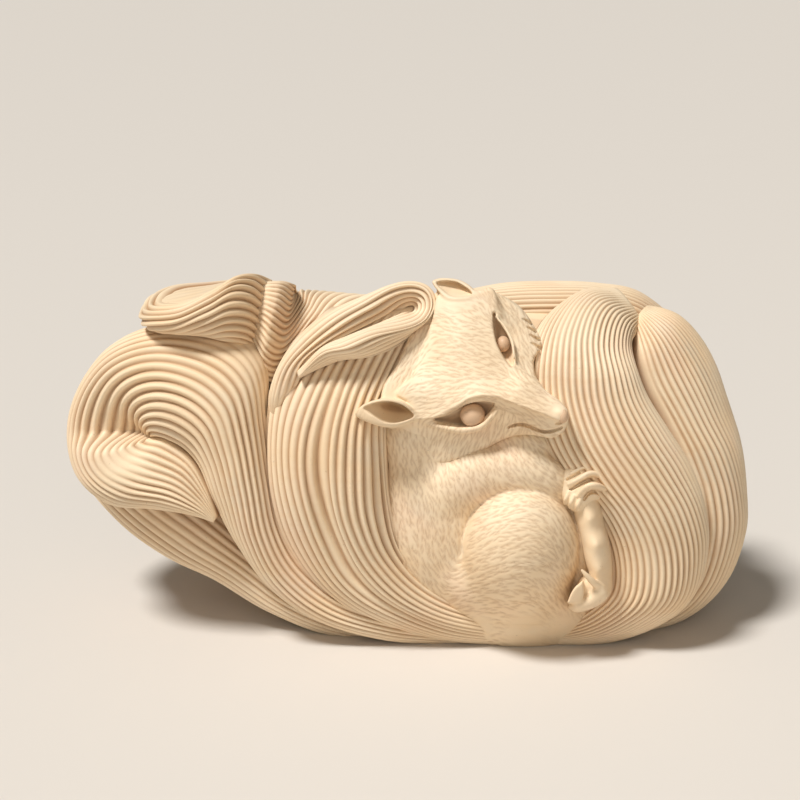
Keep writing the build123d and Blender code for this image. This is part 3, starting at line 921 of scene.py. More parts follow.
class Head(FoxPart):
    """The fox's head: skull, brows, muzzle, mouth, cheeks and both ears."""

    NAME = "head_carved"
    NODES = ("head", "near_ear", "far_ear")
    FUR = Fur(
        spacing=4.4, length=10.0, depth=0.055, width=1.1, seed=31,
        bare="473 414 18  386 412 30  455 289 25  560 416 16  503 342 14  434 304 10",
        lie="450 310 .97 .22  475 335 .97 .24  440 370 .98 .16  480 370 .97 .24  430 400 .97 -.15 "
        "455 398 .92 -.38  500 386 .95 .32  530 400 .92 .4  497 305 .55 .83  525 335 .35 .94  520 365 .4 .9 "
        "412 345 -.4 .92  398 370 -.45 .89  440 448 -.35 .94  470 445 -.42 .9  500 430 -.3 .95  410 445 .1 .99",
    )
    NAPE = Trace(
        "444 292  430 298  425 316  411 334  403 350  396 366  384 384  382 402  398 414  430 420  446 400 "
        "448 330",
        "436 304 -60  424 330 -76  412 350 -88  402 368 -98  390 386 -108  398 400 -114  436 330 -78 "
        "430 380 -100",
    )
    CHEEK = Trace(
        "392 420  392 444  408 462  430 467  446 464  463 459.5  485 449.5  503 439.5  519 435  535 435.5 "
        "550 438  560 434.5  566 427  566 414  541 409  512 398  498 390  470 392  440 408  414 412",
        "396 432 -98  406 450 -100  424 462 -104  444 462 -108  462 455 -112  482 446 -117  501 436 -122 "
        "520 431 -127  540 432 -130  553 435 -131  563 426 -136  530 414 -136  510 410 -133  495 417 -127 "
        "482 432 -120  462 441 -114  444 440 -112  424 434 -108  416 426 -112  508 422 -129  470 396 -128 "
        "490 396 -131",
    )
    FAR_CHEEK = Trace(
        "486 290  496 293  507 298  518 305  527 315  534 326  540 338  541 347  538 353  534 361  535 375 "
        "542 388  528 394  506 376  494 350  486 315",
        "490 300 -66  505 303 -62  522 320 -70  535 340 -80  528 365 -98  512 330 -80  519 350 -92  515 364 -104 "
        "534 382 -114  502 316 -76  508 326 -80  508 348 -92",
    )
    BROW = Trace(
        "437 296  450 295  468 294  482 290  491 292.5  493.5 312  494 326  497 341  502 354  509 364  518 369 "
        "533 378  547 391.5  560 401  566.5 411  564 419  556 419.5  541 413.5  526 408.5  512 403.5  499 398 "
        "485 396  470 399  455 408  440 416.5  427 419  416 418.5  414 410  406 401  396 395  400 387  411 377 "
        "416.5 366  421 350  428 330  433 316",
        "442 298 -69  465 299 -73  484 296 -71  491 312 -80  434 322 -78  450 320 -88  472 320 -90  424 350 -90 "
        "438 345 -98  456 342 -104  476 342 -104  493 337 -98  419 366 -98  433 370 -107  450 368 -113 "
        "470 368 -117  490 364 -114  502 357 -108  404 388 -113  416 400 -117  432 395 -119  450 392 -124 "
        "470 388 -128  490 384 -127  508 377 -120  420 413 -119  440 412 -125  455 405 -131  470 398 -135 "
        "486 394 -137  502 396 -138  520 388 -133  534 384 -126  547 395 -130  520 402 -140  540 410 -142 "
        "555 404 -136  564 411 -137  560 418 -141",
        slack=12.0,
    )
    NEAR_SOCKET = Trace(
        "434 419.5  443 416.8  453 412.5  463 406  473 402.6  484 401.6  492.5 402.6  494.5 404.5  491 410 "
        "485 416.5  477 422.5  465 425.5  449 423.8",
        "440 419 -107  455 416 -110  470 410 -111  485 406 -115  496 402 -126",
    )
    FAR_SOCKET = Trace(
        "493.5 312  499 321  506 331  512 343  514 356  512.5 366  507 362  501 352  496 341  493.5 326",
        "496 318 -70  504 335 -73  505 350 -80  511 362 -94",
    )
    NEAR_EAR = Trace(
        "355.5 412  361 406  368.5 402  378 399.2  390 399  403 402  413 409  418 417  408 423.5  394 427.5 "
        "383 427  375 425  368 422.5  361 419.5  356 416",
        "357 412 -130  369 402 -131  386 399 -130  400 401 -127  411 409 -123  417 417 -119  394 427 -131 "
        "382 425 -134  371 417 -134  364 409 -132  356 424 -128  364 432 -127  405 424 -126",
        slack=8.0,
    )
    NEAR_HOLLOW = Trace(
        "363 408.5  370 404.5  379 402  390 401.5  402 404.8  411 411.5  413 416.5  405 420.5  394 423  383 421.5 "
        "372.5 415",
        "366 408 -128  372 406 -122  380 406 -112  388 406 -102  397 408 -97  405 411 -103  411 415 -114 "
        "376 416 -126  386 419 -120  396 419 -114  405 418 -114",
        slack=8.0,
    )
    UNDER_RIM = Trace(
        "380 403.5  392 403  404 407  409 413  400 414  389 412.5  381 409.5",
    )
    FAR_EAR = Trace(
        "432 282  438 278.5  447 278  458 279.5  467 283.5  473.5 289  479 294  468 299  456 300  446 298 "
        "438 291",
        "434 284 -64  441 280 -60  456 281 -60  468 286 -64  477 293 -68  456 299 -75  446 296 -71  466 298 -74",
    )
    FAR_HOLLOW = Trace(
        "436.5 283  443 280.8  455 281.5  464 286  470.5 291  471 295  461 297  451 296  442.5 290",
        "440 284 -57  455 284 -50  463 288 -53  469 293 -62  458 295 -66  449 292 -62",
    )
    # Painted shade in the eye sockets, under the near ear's upper rim and faintly in the far ear's hollow.
    SHADES = ((NEAR_SOCKET, 0.62), (FAR_SOCKET, 0.55), (UNDER_RIM, 0.55), (FAR_HOLLOW, 0.15))

    def shape(self) -> Clay:
        """Shape the head.

        Returns:
            The clay.
        """
        clay = Clay((346, 268, -0.98), (580, 480, -0.14), 0.98)
        for trace, edge, soft in (
            (self.NAPE, 5.0, 6.0), (self.CHEEK, 7.0, 6.0), (self.FAR_CHEEK, 4.0, 3.0), (self.BROW, 2.4, 1.6)
        ):
            clay.layer(trace, edge, soft)
        clay.ball((560, 414.5, -133), (7.0, 6.8, 9), soft=5)
        clay.rod("489 294 -66 6  494 304 -70 5.5  497 314 -74 4", soft=7)
        for socket in (self.NEAR_SOCKET, self.FAR_SOCKET):
            clay.layer(socket, edge=1.5, soft=2.0, away=True)
        clay.rod(
            "424 421.5 -114 1.6  440 427 -119 2.8  462 430.5 -124 3.4  481 427 -128 3.2  492 416.5 -130 2.4 "
            "498 409.5 -130 1.2",
            soft=5,
        )
        clay.rod("496 317 -80 1.2  505 328 -88 1.7  512 342 -95 1.8  514 358 -106 1.3", soft=2.5)
        clay.rod(
            "508 427.5 .4 .8  515 425 .4 1.5  524 424.6 .4 1.7  533 428 .4 1.7  543 431.6 .4 1.6 "
            "554 430.6 .4 1.5  562 427.5 .4 1.2",
            soft=1.0, away=True, flat=4.0, draped=True,
        )
        clay.rod("556 423.5 .4 1  561 422.5 .4 1.4  565 419.5 .4 1", soft=1.0, away=True, flat=2.5, draped=True)
        clay.layer(self.NEAR_EAR, edge=2.5, soft=3.0)
        clay.layer(self.NEAR_HOLLOW, edge=1.2, soft=1.2, away=True)
        clay.layer(self.FAR_EAR, edge=2.5, soft=3.0)
        clay.layer(self.FAR_HOLLOW, edge=1.5, soft=1.5, away=True)
        for across, down in ((530, 323), (534, 331), (537, 339), (538, 347)):
            clay.rod(
                f"{across - 7} {down - 4} .5 .7  {across - 1} {down - 1} .5 1.4  {across + 2} {down + 1} .5 1.6",
                soft=1.0, away=True, flat=3.0, draped=True,
            )
        clay.keep_before(-0.2, 0.24)
        return clay


class Body(FoxPart):
    """The fox's back, shoulder with the foreleg, and haunch."""

    NAME = "body_carved"
    NODES = ("torso", "shoulder", "haunch")
    FUR = Fur(
        spacing=4.8, length=10.0, depth=0.065, width=1.2, seed=32,
        bare="525 634 26  480 628 16  565 632 22",
        lie="390 470 .1 1  400 530 .25 .97  425 575 .5 .87  432 480 .3 .95  445 540 .25 .97  455 480 .4 .92 "
        "490 470 .45 .9  520 462 .5 .87  545 475 .7 .7  470 600 1 -.15  478 570 1 -.35  486 540 .87 -.5 "
        "508 508 .95 -.35  535 505 .95 .3  560 525 .5 .85  573 555 .12 1  560 590 .4 .9  505 560 .95 -.32 "
        "515 600 .99 .1  530 560 .99 .1  548 560 .8 .6  540 592 .8 .6",
    )

    def shape(self) -> Clay:
        """Shape the body.

        Returns:
            The clay.
        """
        clay = Clay((372, 395, -1.0), (604, 660, -0.3), 1.15)
        clay.ball((441, 520, -72), (63, 97, 42), turn=-6)
        clay.ball((420, 440, -78), (39, 42, 30), soft=10)
        clay.rod(
            "444 500 -92 30  480 478 -100 31  513 474 -106 29  541 480 -106 25  562 492 -100 19",
            soft=7, flat=0.78,
        )
        clay.ball((579, 545, -88), (17, 55, 24), soft=6)
        clay.ball((520, 448, -92), (36, 22, 24), soft=8)
        clay.rod(
            "461 524 -126 3  481 508 -131 3.4  501 494.5 -133 3.2  517 490.5 -133 2.8  533 491.5 -131 2.6 "
            "548 497 -127 2.4  561 505 -122 2.2",
            soft=5, away=True,
        )
        clay.ball((521, 551, -104), (59, 66, 52), turn=4, soft=3.5)
        clay.ball((524, 606, -70), (72, 40, 36), soft=22)
        clay.ball((521, 628, -60), (66, 22, 32), soft=16)
        clay.ball((480, 584, -84), (38, 32, 32), turn=24, soft=14)
        clay.keep_before(-0.34)
        return clay


class HindLeg(FoxPart):
    """The shank that comes down beside the haunch, and the paw that it ends in."""

    NAME = "hind_leg_carved"
    NODES = ("shank", "hind_paw")
    SHANK = Trace(
        "577 497  590 494  598 500  604 520  610.5 547  612.5 573  611 592  602 602  588 609  575 612  568 606 "
        "576 596  588 586  589 574  585 560  580 534  574 514",
        "584 500 -124  590 520 -130  597 545 -134  600 570 -133  601 588 -130  592 600 -132  578 606 -132 "
        "603 525 -116  611 550 -116  612 575 -114  578 520 -120  584 548 -124  588 572 -126  580 594 -126",
    )
    TOE = Trace(
        "583 581  579 583.5  575 587  571 593  568.5 599  567.5 603  573 603  579 601.5  583 597  584 590",
        "583 583 -137  576 587 -141  569 600 -139  577 601 -138  583 593 -138",
    )

    def shape(self) -> Clay:
        """Shape the hind leg.

        Returns:
            The clay.
        """
        clay = Clay((550, 480, -1.0), (632, 632, -0.42), 0.8)
        clay.layer(self.SHANK, edge=8.0, soft=3.0)
        clay.rod("600 587 -128 4  593 582 -135 3.6  587 576 -138 2.8  582 570.5 -139 1.6", soft=1.4)
        clay.layer(self.TOE, edge=3.0, soft=1.2)
        clay.ball((588, 588, -114), (11, 13, 15), soft=2)
        clay.rod("600 594 -126 7  590 602 -128 6  578 606 -130 4.5", soft=5)
        clay.keep_before(-0.45)
        return clay


class Forepaw(FoxPart):
    """The forepaw, tucked over the haunch, with its toes folded."""

    NAME = "forepaw_carved"
    NODES = ("forepaw",)
    PAW = Trace(
        "559 478  562 470  570 466.5  579 466  589 464.5  600 467  607 473  610.5 483  609.5 494  602 499 "
        "592 503  586 511  577 513  568 507  561 497",
        "563 476 -116  575 470 -119  590 468 -119  604 474 -115  566 490 -121  580 486 -126  596 484 -126 "
        "606 490 -117  574 502 -125  588 500 -127",
    )
    TOES = (
        "571 473.5 .5 1.8  579 470 -1 2.4  588 467.8 -1.2 2.4  597 469 -1 2.4  603 472 .5 1.8",
        "569 484.5 .5 2.2  576 481 -1.6 2.7  583 477 -2.8 2.9  588 474 -3.2 2.9  594 473.5 -3.2 2.9 "
        "601 476.5 -2.6 2.8  605 480 0 2",
        "578.5 496 .5 2.4  583 490 -2.4 2.9  588 486.4 -4 3.1  595 485.4 -4.2 3.1  602 487.5 -3.6 3 "
        "606.5 492 -1.6 2.6  607.5 496.5 1 1.8",
    )
    FOLDS = (
        ("567 479.5 .5 1.3  575 475.5 .5 1.5  582 471.5 .5 1.5  590 470 .5 1.5  600 472 .5 1.4", 2.2),
        ("568 491 .5 1.4  576 486.5 .5 1.7  582 482.5 .5 1.8  589 479.8 .5 1.8  596 479.6 .5 1.8 "
         "604 484 .5 1.6", 3.0),
        ("584 499 .5 1.6  588 493.5 .5 2  594 491.5 .5 2.2  600 493.5 .5 2.2  603 498 .5 2.2", 3.0),
    )

    def shape(self) -> Clay:
        """Shape the forepaw.

        Returns:
            The clay.
        """
        clay = Clay((545, 448, -1.0), (628, 528, -0.42), 0.75)
        clay.layer(self.PAW, edge=9.0, soft=3.0)
        for toe in self.TOES:
            clay.rod(toe, soft=1.0, draped=True)
        for fold, flat in self.FOLDS:
            clay.rod(fold, soft=0.8, away=True, flat=flat, draped=True)
        for across, down in ((565, 503), (570, 507), (577, 509)):
            clay.rod(
                f"{across + 4} {down - 11} 1 2.2  {across + 1} {down - 4} -.5 2.4  {across} {down} 1 2",
                soft=1.2, draped=True,
            )
        clay.ball((604.5, 502, -128), (5.5, 5.5, 22), soft=2.0, away=True)
        clay.keep_before(-0.45)
        return clay


@dataclass(frozen=True)
class Bead:
    """A small rounded piece, such as an eye. Its radii are in mm."""

    name: str
    node: str
    centre: Triple
    radii: Triple

    def build(self, finish: bpy.types.Material) -> None:
        """Model the bead from a sphere that is flattened and smoothed, and seat it in the frame.

        Args:
            finish: the material.
        """
        Workbench.select()
        bpy.ops.mesh.primitive_uv_sphere_add(segments=32, ring_count=20, radius=1.0)
        piece = bpy.context.object
        piece.name = piece.data.name = self.name
        bpy.ops.object.mode_set(mode="EDIT")
        bpy.ops.mesh.select_all(action="SELECT")
        bpy.ops.transform.resize(value=tuple(radius * METRES for radius in self.radii))
        bpy.ops.transform.translate(value=tuple(DRAWING.places([self.centre])[0] * METRES))
        bpy.ops.object.mode_set(mode="OBJECT")
        bpy.ops.object.shade_smooth()
        Workbench.seat(piece, finish, self.node)


class Socket:
    """A value of a material's nodes that can be used in plain sums."""

    def __init__(self, tree: "Nodes", output: bpy.types.NodeSocket) -> None:
        """Wrap an output.

        Args:
            tree: the nodes that it belongs to.
            output: the output.
        """
        self.tree, self.output = tree, output

    def maths(self, operation: str, value: "Socket | float", clamp: bool = False) -> "Socket":
        """Put a Math node after the value, which can keep the result between 0 and 1."""
        return self.tree.node("ShaderNodeMath", {0: self, 1: value}, operation=operation, use_clamp=clamp)

    def __add__(self, other: "Socket | float") -> "Socket":
        """Add."""
        return self.maths("ADD", other)

    def __mul__(self, other: "Socket | float") -> "Socket":
        """Multiply."""
        return self.maths("MULTIPLY", other)

    def __sub__(self, other: "Socket | float") -> "Socket":
        """Subtract."""
        return self.maths("SUBTRACT", other)


class Nodes:
    """The nodes of one material."""

    def __init__(self, name: str) -> None:
        """Start a material with its shader alone.

        Args:
            name: the material's name.
        """
        self.material = bpy.data.materials.new(name)
        self.material.use_nodes = True
        self.tree = self.material.node_tree
        self.shader = next(node for node in self.tree.nodes if node.type == "BSDF_PRINCIPLED")

    def node(self, kind: str, inputs: dict[object, object], output: object = 0, **settings: object) -> Socket:
        """Add a node.

        Args:
            kind: the node's type.
            inputs: values or links, by the input's name or number.
            output: the name or number of the output that is wanted.
            settings: what is set on the node first.

        Returns:
            The output.
        """
        node = self.tree.nodes.new(kind)
        for key, value in settings.items():
            setattr(node, key, value)
        self.feed(node, inputs)
        return Socket(self, node.outputs[output])

    def feed(self, node: bpy.types.Node, inputs: dict[object, object]) -> None:
        """Give a node's inputs their values or their links."""
        for key, value in inputs.items():
            if isinstance(value, Socket):
                self.tree.links.new(value.output, node.inputs[key])
            else:
                node.inputs[key].default_value = value

    def mixed(self, share: Socket, first: Socket | Colour, second: Colour) -> Socket:
        """Mix two colours."""
        return self.node("ShaderNodeMix", {0: share, 6: first, 7: second}, output=2, data_type="RGBA")

    def ramp(self, value: Socket, low: float, high: float) -> Socket:
        """Spread the values between two numbers over 0 to 1."""
        return self.node("ShaderNodeMapRange", {0: value, 1: low, 2: high, 3: 0.0, 4: 1.0}, clamp=True)


@dataclass(frozen=True)
class Boxwood:
    """Pale boxwood, fresh from the knife: cream, with painted shade in the grooves, strokes and hollows."""

    name: str = "boxwood_carved"
    cream: Colour = (0.86, 0.71, 0.51, 1.0)
    warm: Colour = (0.78, 0.56, 0.33, 1.0)
    rose: Colour = (0.81, 0.59, 0.43, 1.0)
    grey: Colour = (0.70, 0.63, 0.50, 1.0)
    # Painted shade: the dark brown that the groove attribute mixes in where grooves, strokes and hollows fall in
    # shade.
    groove_shade_colour: Colour = (0.34, 0.16, 0.06, 1.0)
    speck: Colour = (0.22, 0.13, 0.08, 1.0)
    roughness: float = 0.46
    groove_shade_share: float = 0.85

    def build(self) -> bpy.types.Material:
        """Make the material.

        Returns:
            The material.
        """
        nodes = Nodes(self.name)
        coords = nodes.node("ShaderNodeTexCoord", {}, output="Object")
        groove = nodes.node("ShaderNodeAttribute", {}, output="Fac", attribute_name="groove")

        def noise(scale: float, detail: float, stretch: Triple = (1.0, 1.0, 1.0)) -> Socket:
            """Noise on the carving's own coordinates."""
            where = nodes.node("ShaderNodeMapping", {"Vector": coords, "Scale": stretch})
            return nodes.node("ShaderNodeTexNoise", {"Vector": where, "Scale": scale, "Detail": detail})

        grain = noise(900.0, 4.0, (0.25, 1.0, 1.6))
        pores = nodes.ramp(noise(2600.0, 2.0), 0.70, 0.80)
        colour = self.cream
        for pattern, low, high, share, tint in (
            (noise(75.0, 3.0), 0.38, 0.66, 0.55, self.warm),
            (noise(120.0, 3.0, (1.0, 1.3, 0.8)), 0.52, 0.72, 0.45, self.rose),
            (noise(160.0, 4.0, (0.9, 1.2, 1.0)), 0.56, 0.74, 0.40, self.grey),
            (grain, 0.46, 0.78, 0.28, self.warm),
        ):
            colour = nodes.mixed(nodes.ramp(pattern, low, high) * share, colour, tint)
        # Painted shade in the grooves, fur strokes and hollows.
        colour = nodes.mixed((groove * self.groove_shade_share).maths("ADD", 0.0, clamp=True), colour, self.groove_shade_colour)
        colour = nodes.mixed(pores * 0.30, colour, self.speck)
        height = grain * 0.7 + noise(3200.0, 2.0) * 0.5 - pores * 0.6
        bump = nodes.node("ShaderNodeBump", {"Strength": 0.35, "Distance": 0.00006, "Height": height})
        rough = grain * 0.22 + self.roughness + groove * 0.12
        finish = {"Base Color": colour, "Roughness": rough, "Normal": bump, "Specular IOR Level": 0.35}
        nodes.feed(nodes.shader, finish)
        return nodes.material


class Studio:
    """The floor, the lights and the camera, none of which is part of the carving."""

    FLOOR_SIZE = 3.0
    FLOOR_PLACE = (0.0, 0.6, 0.0)
    FLOOR_COLOUR = (0.66, 0.62, 0.57, 1.0)
    SKY = (1.0, 0.93, 0.82, 1.0)
    SKY_STRENGTH = 0.17
    AIM = (0.0, 0.0, 0.02)
    LENS = 76.5
    SENSOR = 36.0
    VIEW_OFFSET = -0.000235

    def build(self) -> None:
        """Set up the floor, the lights and the camera."""
        self.floor()
        self.light("key", "SUN", (-0.15, -0.115, 0.37), (1.0, 0.985, 0.965), angle=0.24, energy=3.55)
        self.light("fill", "AREA", (0.02, -0.50, 0.24), (1.0, 0.95, 0.88), shape="SQUARE", size=0.40, energy=0.6)
        world = bpy.data.worlds.new("studio")
        world.use_nodes = True
        background = next(node for node in world.node_tree.nodes if node.type == "BACKGROUND")
        background.inputs[0].default_value = self.SKY
        background.inputs[1].default_value = self.SKY_STRENGTH
        bpy.context.scene.world = world
        bpy.context.scene.view_settings.view_transform = "Standard"
        self.camera()

    def floor(self) -> None:
        """Lay a plain pale floor."""
        Workbench.select()
        bpy.ops.mesh.primitive_plane_add(size=self.FLOOR_SIZE, location=self.FLOOR_PLACE)
        floor = bpy.context.object
        floor.name = floor.data.name = "floor"
        nodes = Nodes("floor_pale")
        nodes.feed(nodes.shader, {"Base Color": self.FLOOR_COLOUR, "Roughness": 0.75})
        floor.data.materials.append(nodes.material)

    def light(self, name: str, kind: str, place: Triple, colour: Triple, **settings: object) -> None:
        """Hang a light that faces the carving.

        Args:
            name: its name.
            kind: its type.
            place: where it hangs.
            colour: its colour.
            settings: its size in metres, or its angle in radians for the sun, with its energy and shape.
        """
        data = bpy.data.lights.new(name, kind)
        for key, value in {"color": colour, **settings}.items():
            setattr(data, key, value)
        lamp = bpy.data.objects.new(name, data)
        bpy.context.scene.collection.objects.link(lamp)
        lamp.location = place
        lamp.rotation_euler = (Vector(self.AIM) - Vector(place)).to_track_quat("-Z", "Y").to_euler()

    def camera(self) -> None:
        """Set the camera at the photograph's angle."""
        data = bpy.data.cameras.new("photo_camera")
        data.lens, data.sensor_width = self.LENS, self.SENSOR
        camera = bpy.data.objects.new("photo_camera", data)
        bpy.context.scene.collection.objects.link(camera)
        place = Vector(DRAWING.eye * METRES)
        place.x += self.VIEW_OFFSET
        camera.location = place
        camera.rotation_euler = (math.radians(90.0) - DRAWING.tilt, 0.0, 0.0)
        data.clip_start = 0.01
        bpy.context.scene.camera = camera


BROW = cross_sections("""
    268 420 -.4  286 414 -.44  .04 .12
    270 390 -.38  304 386 -.47  .12 .16
    284 358 -.32  323 355 -.46  .18 .2
    306 331 -.25  350 340 -.4  .22 .2
    337 308 -.18  378 328 -.32  .24 .2
    370 294 -.15  398 318 -.26  .22 .18
    402 286 -.15  408 311 -.24  .18 .16
    425 287 -.18  411 309 -.26  .16 .16
    436 301 -.24  410 311 -.28  .15 .16
    427 322 -.32  402 313 -.32  .18 .16
    400 345 -.44  376 324 -.38  .22 .16
    370 357 -.52  346 336 -.46  .2 .16
    336 362 -.54  322 347 -.5  .13 .14
    300 378 -.54  297 371 -.54  .04 .06
""")
SIDE = cross_sections("""
    325 312 -.1  430 300 -.15  .18 .35
    290 345 -.2  418 335 -.3  .24 .35
    272 385 -.28  402 372 -.42  .28 .35
    266 435 -.33  388 410 -.5  .28 .35
    270 490 -.36  386 458 -.55  .26 .35
    288 542 -.37  390 505 -.56  .22 .35
    324 588 -.37  402 548 -.54  .18 .35
    376 617 -.36  432 582 -.51  .15 .28
    450 636 -.34  484 606 -.48  .12 .21
    560 642 -.34  570 622 -.42  .08 .14
""")
LEFT_CURL = cross_sections("""
    500 643 -.32  505 628 -.36  .06 .1
    440 641 -.32  452 618 -.38  .1 .15
    380 634 -.32  402 604 -.42  .14 .2
    318 612 -.3  350 584 -.42  .18 .25
    268 580 -.31  312 552 -.41  .2 .3
    234 540 -.38  288 514 -.4  .2 .35
    213 500 -.44  276 466 -.38  .2 .4
    199 467 -.44  270 414 -.34  .22 .45
    184 449 -.42  264 356 -.28  .25 .5
    168 440 -.41  228 326 -.2  .25 .5
    156 436 -.4  164 323 -.12  .24 .5
    149 436 -.39  107 349 -.08  .22 .5
    147 438 -.38  73 408 -.05  .2 .48
    150 440 -.39  76 466 -.08  .2 .45
    166 444 -.41  108 500 -.18  .2 .4
    190 462 -.44  154 506 -.3  .16 .3
    206 490 -.46  190 512 -.4  .1 .2
    217 517 -.47  213 521 -.46  .03 .08
""")
RIGHT_BAND = cross_sections("""
    616 289 .12  642 322 0  .1 .21  0 -1 .3
    582 292 .05  636 332 -.14  .18 .28  0 -1 .3
    550 312 -.16  632 345 -.24  .24 .35
    530 345 -.34  637 368 -.32  .26 .35
    524 385 -.42  648 396 -.37  .25 .35
    530 428 -.46  668 428 -.39  .27 .35
    548 464 -.48  688 460 -.38  .28 .35
    582 502 -.48  702 498 -.37  .28 .35
    602 542 -.48  706 538 -.35  .26 .35
    604 582 -.48  694 582 -.33  .24 .35
    586 606 -.46  666 614 -.31  .18 .28
    556 622 -.43  615 635 -.3  .14 .21
    500 631 -.4  550 644 -.3  .08 .14
""")
OUTER = cross_sections("""
    634 322 -.05  648 310 .15  .06 .1  0 -1 1
    641 352 -.22  672 320 .22  .14 .28  1 -1 1
    652 386 -.28  694 348 .28  .18 .35  1 -1 .5
    672 424 -.32  706 386 .32  .2 .35  1 -.5 0
    690 460 -.34  712 430 .34  .22 .35  1 -.4 0
    702 498 -.35  713 480 .35  .22 .35  1 -.3 0
    705 538 -.34  709 520 .33  .22 .35  1 -.3 0
    692 582 -.32  695 556 .3  .2 .35  1 -.3 -.3
    664 612 -.3  668 582 .25  .16 .28  1 0 -.8
    615 630 -.3  620 604 .15  .1 .17  .5 0 -1
""")
CROWN_WALL = cross_sections("""
    262 346 -.16  272 280 -.04  .06 .2
    249 345 -.3  256 274 -.14  .1 .2
    226 342 -.37  236 276 -.24  .13 .2
    203 337 -.4  212 290 -.32  .14 .2
    180 335 -.38  186 302 -.36  .14 .2  -.2 -1 0
    165 333 -.3  166 304 -.3  .13 .2  -.9 -1 0
    160 330 -.16  158 301 -.17  .11 .2  LEFT
    164 326 -.01  163 292 -.03  .11 .2  -1 .3 0
    180 322 .12  178 285 .1  .1 .2  -.5 1 0
    205 318 .17  207 282 .16  .1 .2  BACK
    240 318 .16  246 279 .13  .1 .2  BACK
    272 320 .12  284 282 .08  .08 .2  BACK
""")
CROWN_DISH = cross_sections("""
    156 305 -.16  156 302 -.08  .01 .1  UP
    166 307 -.3  164 294 .02  .01 .15  UP
    184 306 -.36  182 288 .09  .01 .2  UP
    208 297 -.32  208 285 .14  .01 .2  UP
    232 284 -.24  240 281 .12  .01 .2  UP
    258 280 -.12  264 281 .08  .01 .12  UP
""")
SHOULDER = cross_sections("""
    245 356 -.22  262 282 -.1  .06 .25
    257 384 -.26  282 281 -.04  .16 .3
    281 386 -.21  296 286 .08  .13 .35  0 -1 .3
    322 350 -.12  286 292 .34  .12 .35  0 -.4 1
    372 318 -.08  248 318 .58  .16 .35  0 .4 1
    436 302 .02  256 378 .74  .16 .35  0 1 1
    505 299 .28  362 408 .82  .15 .35  0 1 .4
    580 312 .46  482 424 .83  .14 .35  0 1 .1
    640 350 .53  580 434 .79  .12 .3  .2 1 0
    676 412 .54  655 450 .62  .06 .15  .5 1 0
""")
UNDER = cross_sections("""
    430 644 -.24  432 632 -.26  .05 .11
    340 632 -.2  352 610 -.25  .12 .22
    270 606 -.14  300 584 -.2  .15 .29
    215 573 -.08  258 545 -.16  .18 .32
    165 549 0  215 505 -.12  .2 .29
    125 520 .12  165 465 0  .2 .27  -.6 -1 0
    100 485 .3  112 405 .22  .18 .27  LEFT
    128 472 .52  125 374 .46  .18 .27  -1 1 0
    190 487 .68  184 362 .64  .2 .31  -.3 1 0
    280 500 .76  274 374 .78  .22 .32  BACK
    380 508 .8  375 398 .82  .22 .32  BACK
    470 510 .8  475 420 .82  .2 .27  BACK
    545 510 .76  555 438 .8  .16 .22  BACK
    622 500 .66  628 458 .7  .06 .1  .2 1 0
""")
TOP = cross_sections("""
    455 318 -.02  462 298 .32  .08 .2  UP
    500 314 -.02  505 292 .42  .1 .28  UP
    550 312 0  552 290 .46  .1 .28  UP
    600 314 .05  598 292 .5  .1 .28  UP
    643 334 .14  632 300 .56  .12 .28  .5 .2 1
    678 382 .28  658 332 .66  .14 .28  1 .6 .6
    690 450 .36  655 400 .76  .16 .3  .8 1 0
    674 525 .42  620 460 .84  .18 .34  .3 1 0
    600 580 .46  550 495 .86  .18 .34  BACK
    480 594 .5  455 500 .86  .18 .34  BACK
    350 588 .46  350 498 .82  .18 .34  BACK
    255 562 .38  262 490 .72  .16 .28  -.2 1 0
    190 525 .32  205 490 .5  .08 .14  -.5 1 0
""")

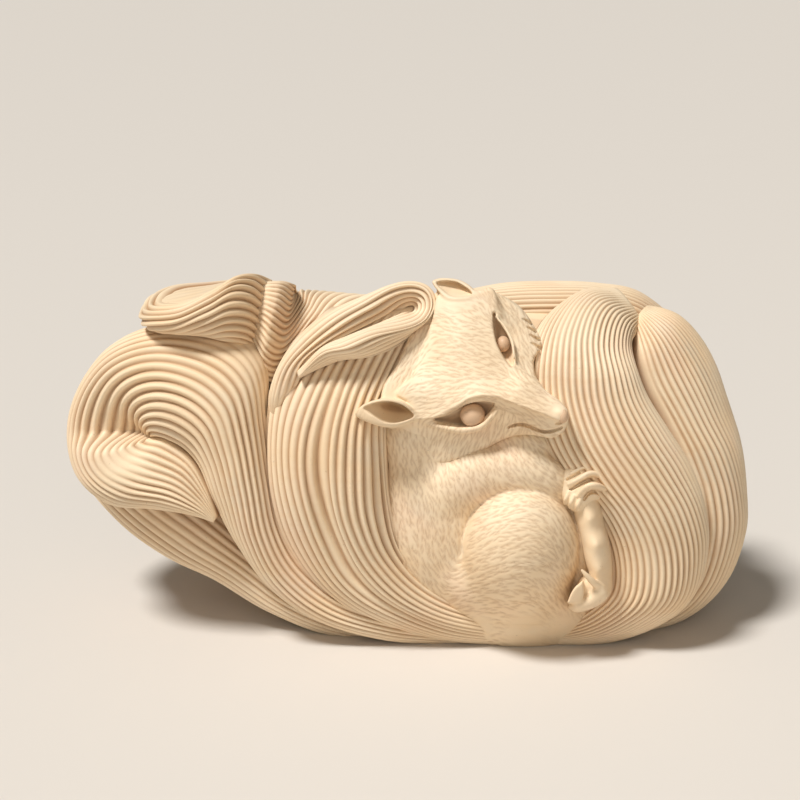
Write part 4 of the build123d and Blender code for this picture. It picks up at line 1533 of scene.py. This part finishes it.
TAILS = (
    Tail(
        "left_curl_tail", LEFT_CURL,
        Ridges(15, 0.32, fade_start=0.10, bold=(
            Dent(0.68, 0.60, 0.07, 0.28, 0.7),
            Dent(0.52, 0.02, 0.17, 0.34, -0.9),
            Dent(0.83, 0.70, 0.05, 0.34, -0.9),
        )),
        11, (Dent(0.765, 0.68, 0.10, 0.25, 4.4, sharp=0.16),), step_along=0.34, fullness=1.6,
    ),
    Tail("under_tail", UNDER, Ridges(13, 0.20), 12),
    Tail("shoulder_tail", SHOULDER, Ridges(20, 0.28, slide=0.12), 13, step_across=0.13),
    Tail(
        "side_tail", SIDE, Ridges(18, 0.28, fade_end=0.10, bold=(Dent(0.45, 0.05, 0.16, 0.16, 1.6),)),
        14, (Dent(0.42, 0.47, 0.24, 0.06, 1.2), Dent(0.42, 0.10, 0.16, 0.06, 0.9)),
    ),
    Tail("brow_tail", BROW, Ridges(10, 0.30, fade_start=0.2), 15, step_along=0.25, fullness=1.7),
    Tail("right_band_tail", RIGHT_BAND, Ridges(23, 0.26, fade_end=0.09), 16),
    Tail("outer_tail", OUTER, Ridges(20, 0.24), 17),
    Tail("top_tail", TOP, Ridges(14, 0.26), 18),
)
BUN = (
    Tail("crown_curl_wall", CROWN_WALL, Ridges(7.5, 0.34, pitch=1.0), 19, step_along=0.25),
    Tail("crown_curl_dish", CROWN_DISH, Ridges(6, 0.04, fade_start=0.45), 20, step_along=0.3),
)
BEADS = (
    Bead("near_eye_bead", "near_eye", (472.5, 415, -0.672), (1.36, 1.3, 1.30)),
    Bead("far_eye_bead", "far_eye", (503, 344, -0.475), (0.74, 0.9, 0.9)),
    Bead("nose_pad", "nose", (562.5, 416, -0.77), (0.62, 0.7, 0.8)),
)


class Carving:
    """The fox among its nine tails."""

    def build(self, coat: bpy.types.Material, bead: bpy.types.Material) -> None:
        """Dress the block piece by piece.

        Args:
            coat: the finish of the carved wood.
            bead: the finish of the eyes and the nose.
        """
        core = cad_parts["core"]
        core.data.materials.clear()
        core.data.materials.append(coat)
        for tail in TAILS:
            Workbench.seat(tail.model(f"{tail.name}_carved"), coat, tail.name)
        self.bun(coat)
        for part in (Head(), Body(), HindLeg(), Forepaw()):
            part.build(coat)
        for small in BEADS:
            small.build(bead)

    @staticmethod
    def bun(finish: bpy.types.Material) -> None:
        """Model the curl that stands up like a bun, with its wall and its dished top, as one piece.

        Args:
            finish: the material.
        """
        wall, dish = (tail.model(tail.name) for tail in BUN)
        Workbench.select(wall, dish)
        bpy.ops.object.join()
        wall.name = wall.data.name = "crown_curl_tail_carved"
        Workbench.seat(wall, finish, "crown_curl_tail")


def main() -> None:
    """Build the carving piece by piece, and the studio round it."""
    logging.basicConfig(level=logging.INFO, format="%(message)s")
    coat = Boxwood().build()
    # The beads' own pinkish-brown tone, made darker still as painted shade, since the eyes sit deep in their
    # sockets.
    smooth = (0.66, 0.46, 0.30, 1.0), (0.58, 0.37, 0.22, 1.0)
    bead = Boxwood("boxwood_smooth", *smooth, roughness=0.32, groove_shade_share=0.2).build()
    Studio().build()
    Carving().build(coat, bead)


if __name__ == "__main__":
    main()
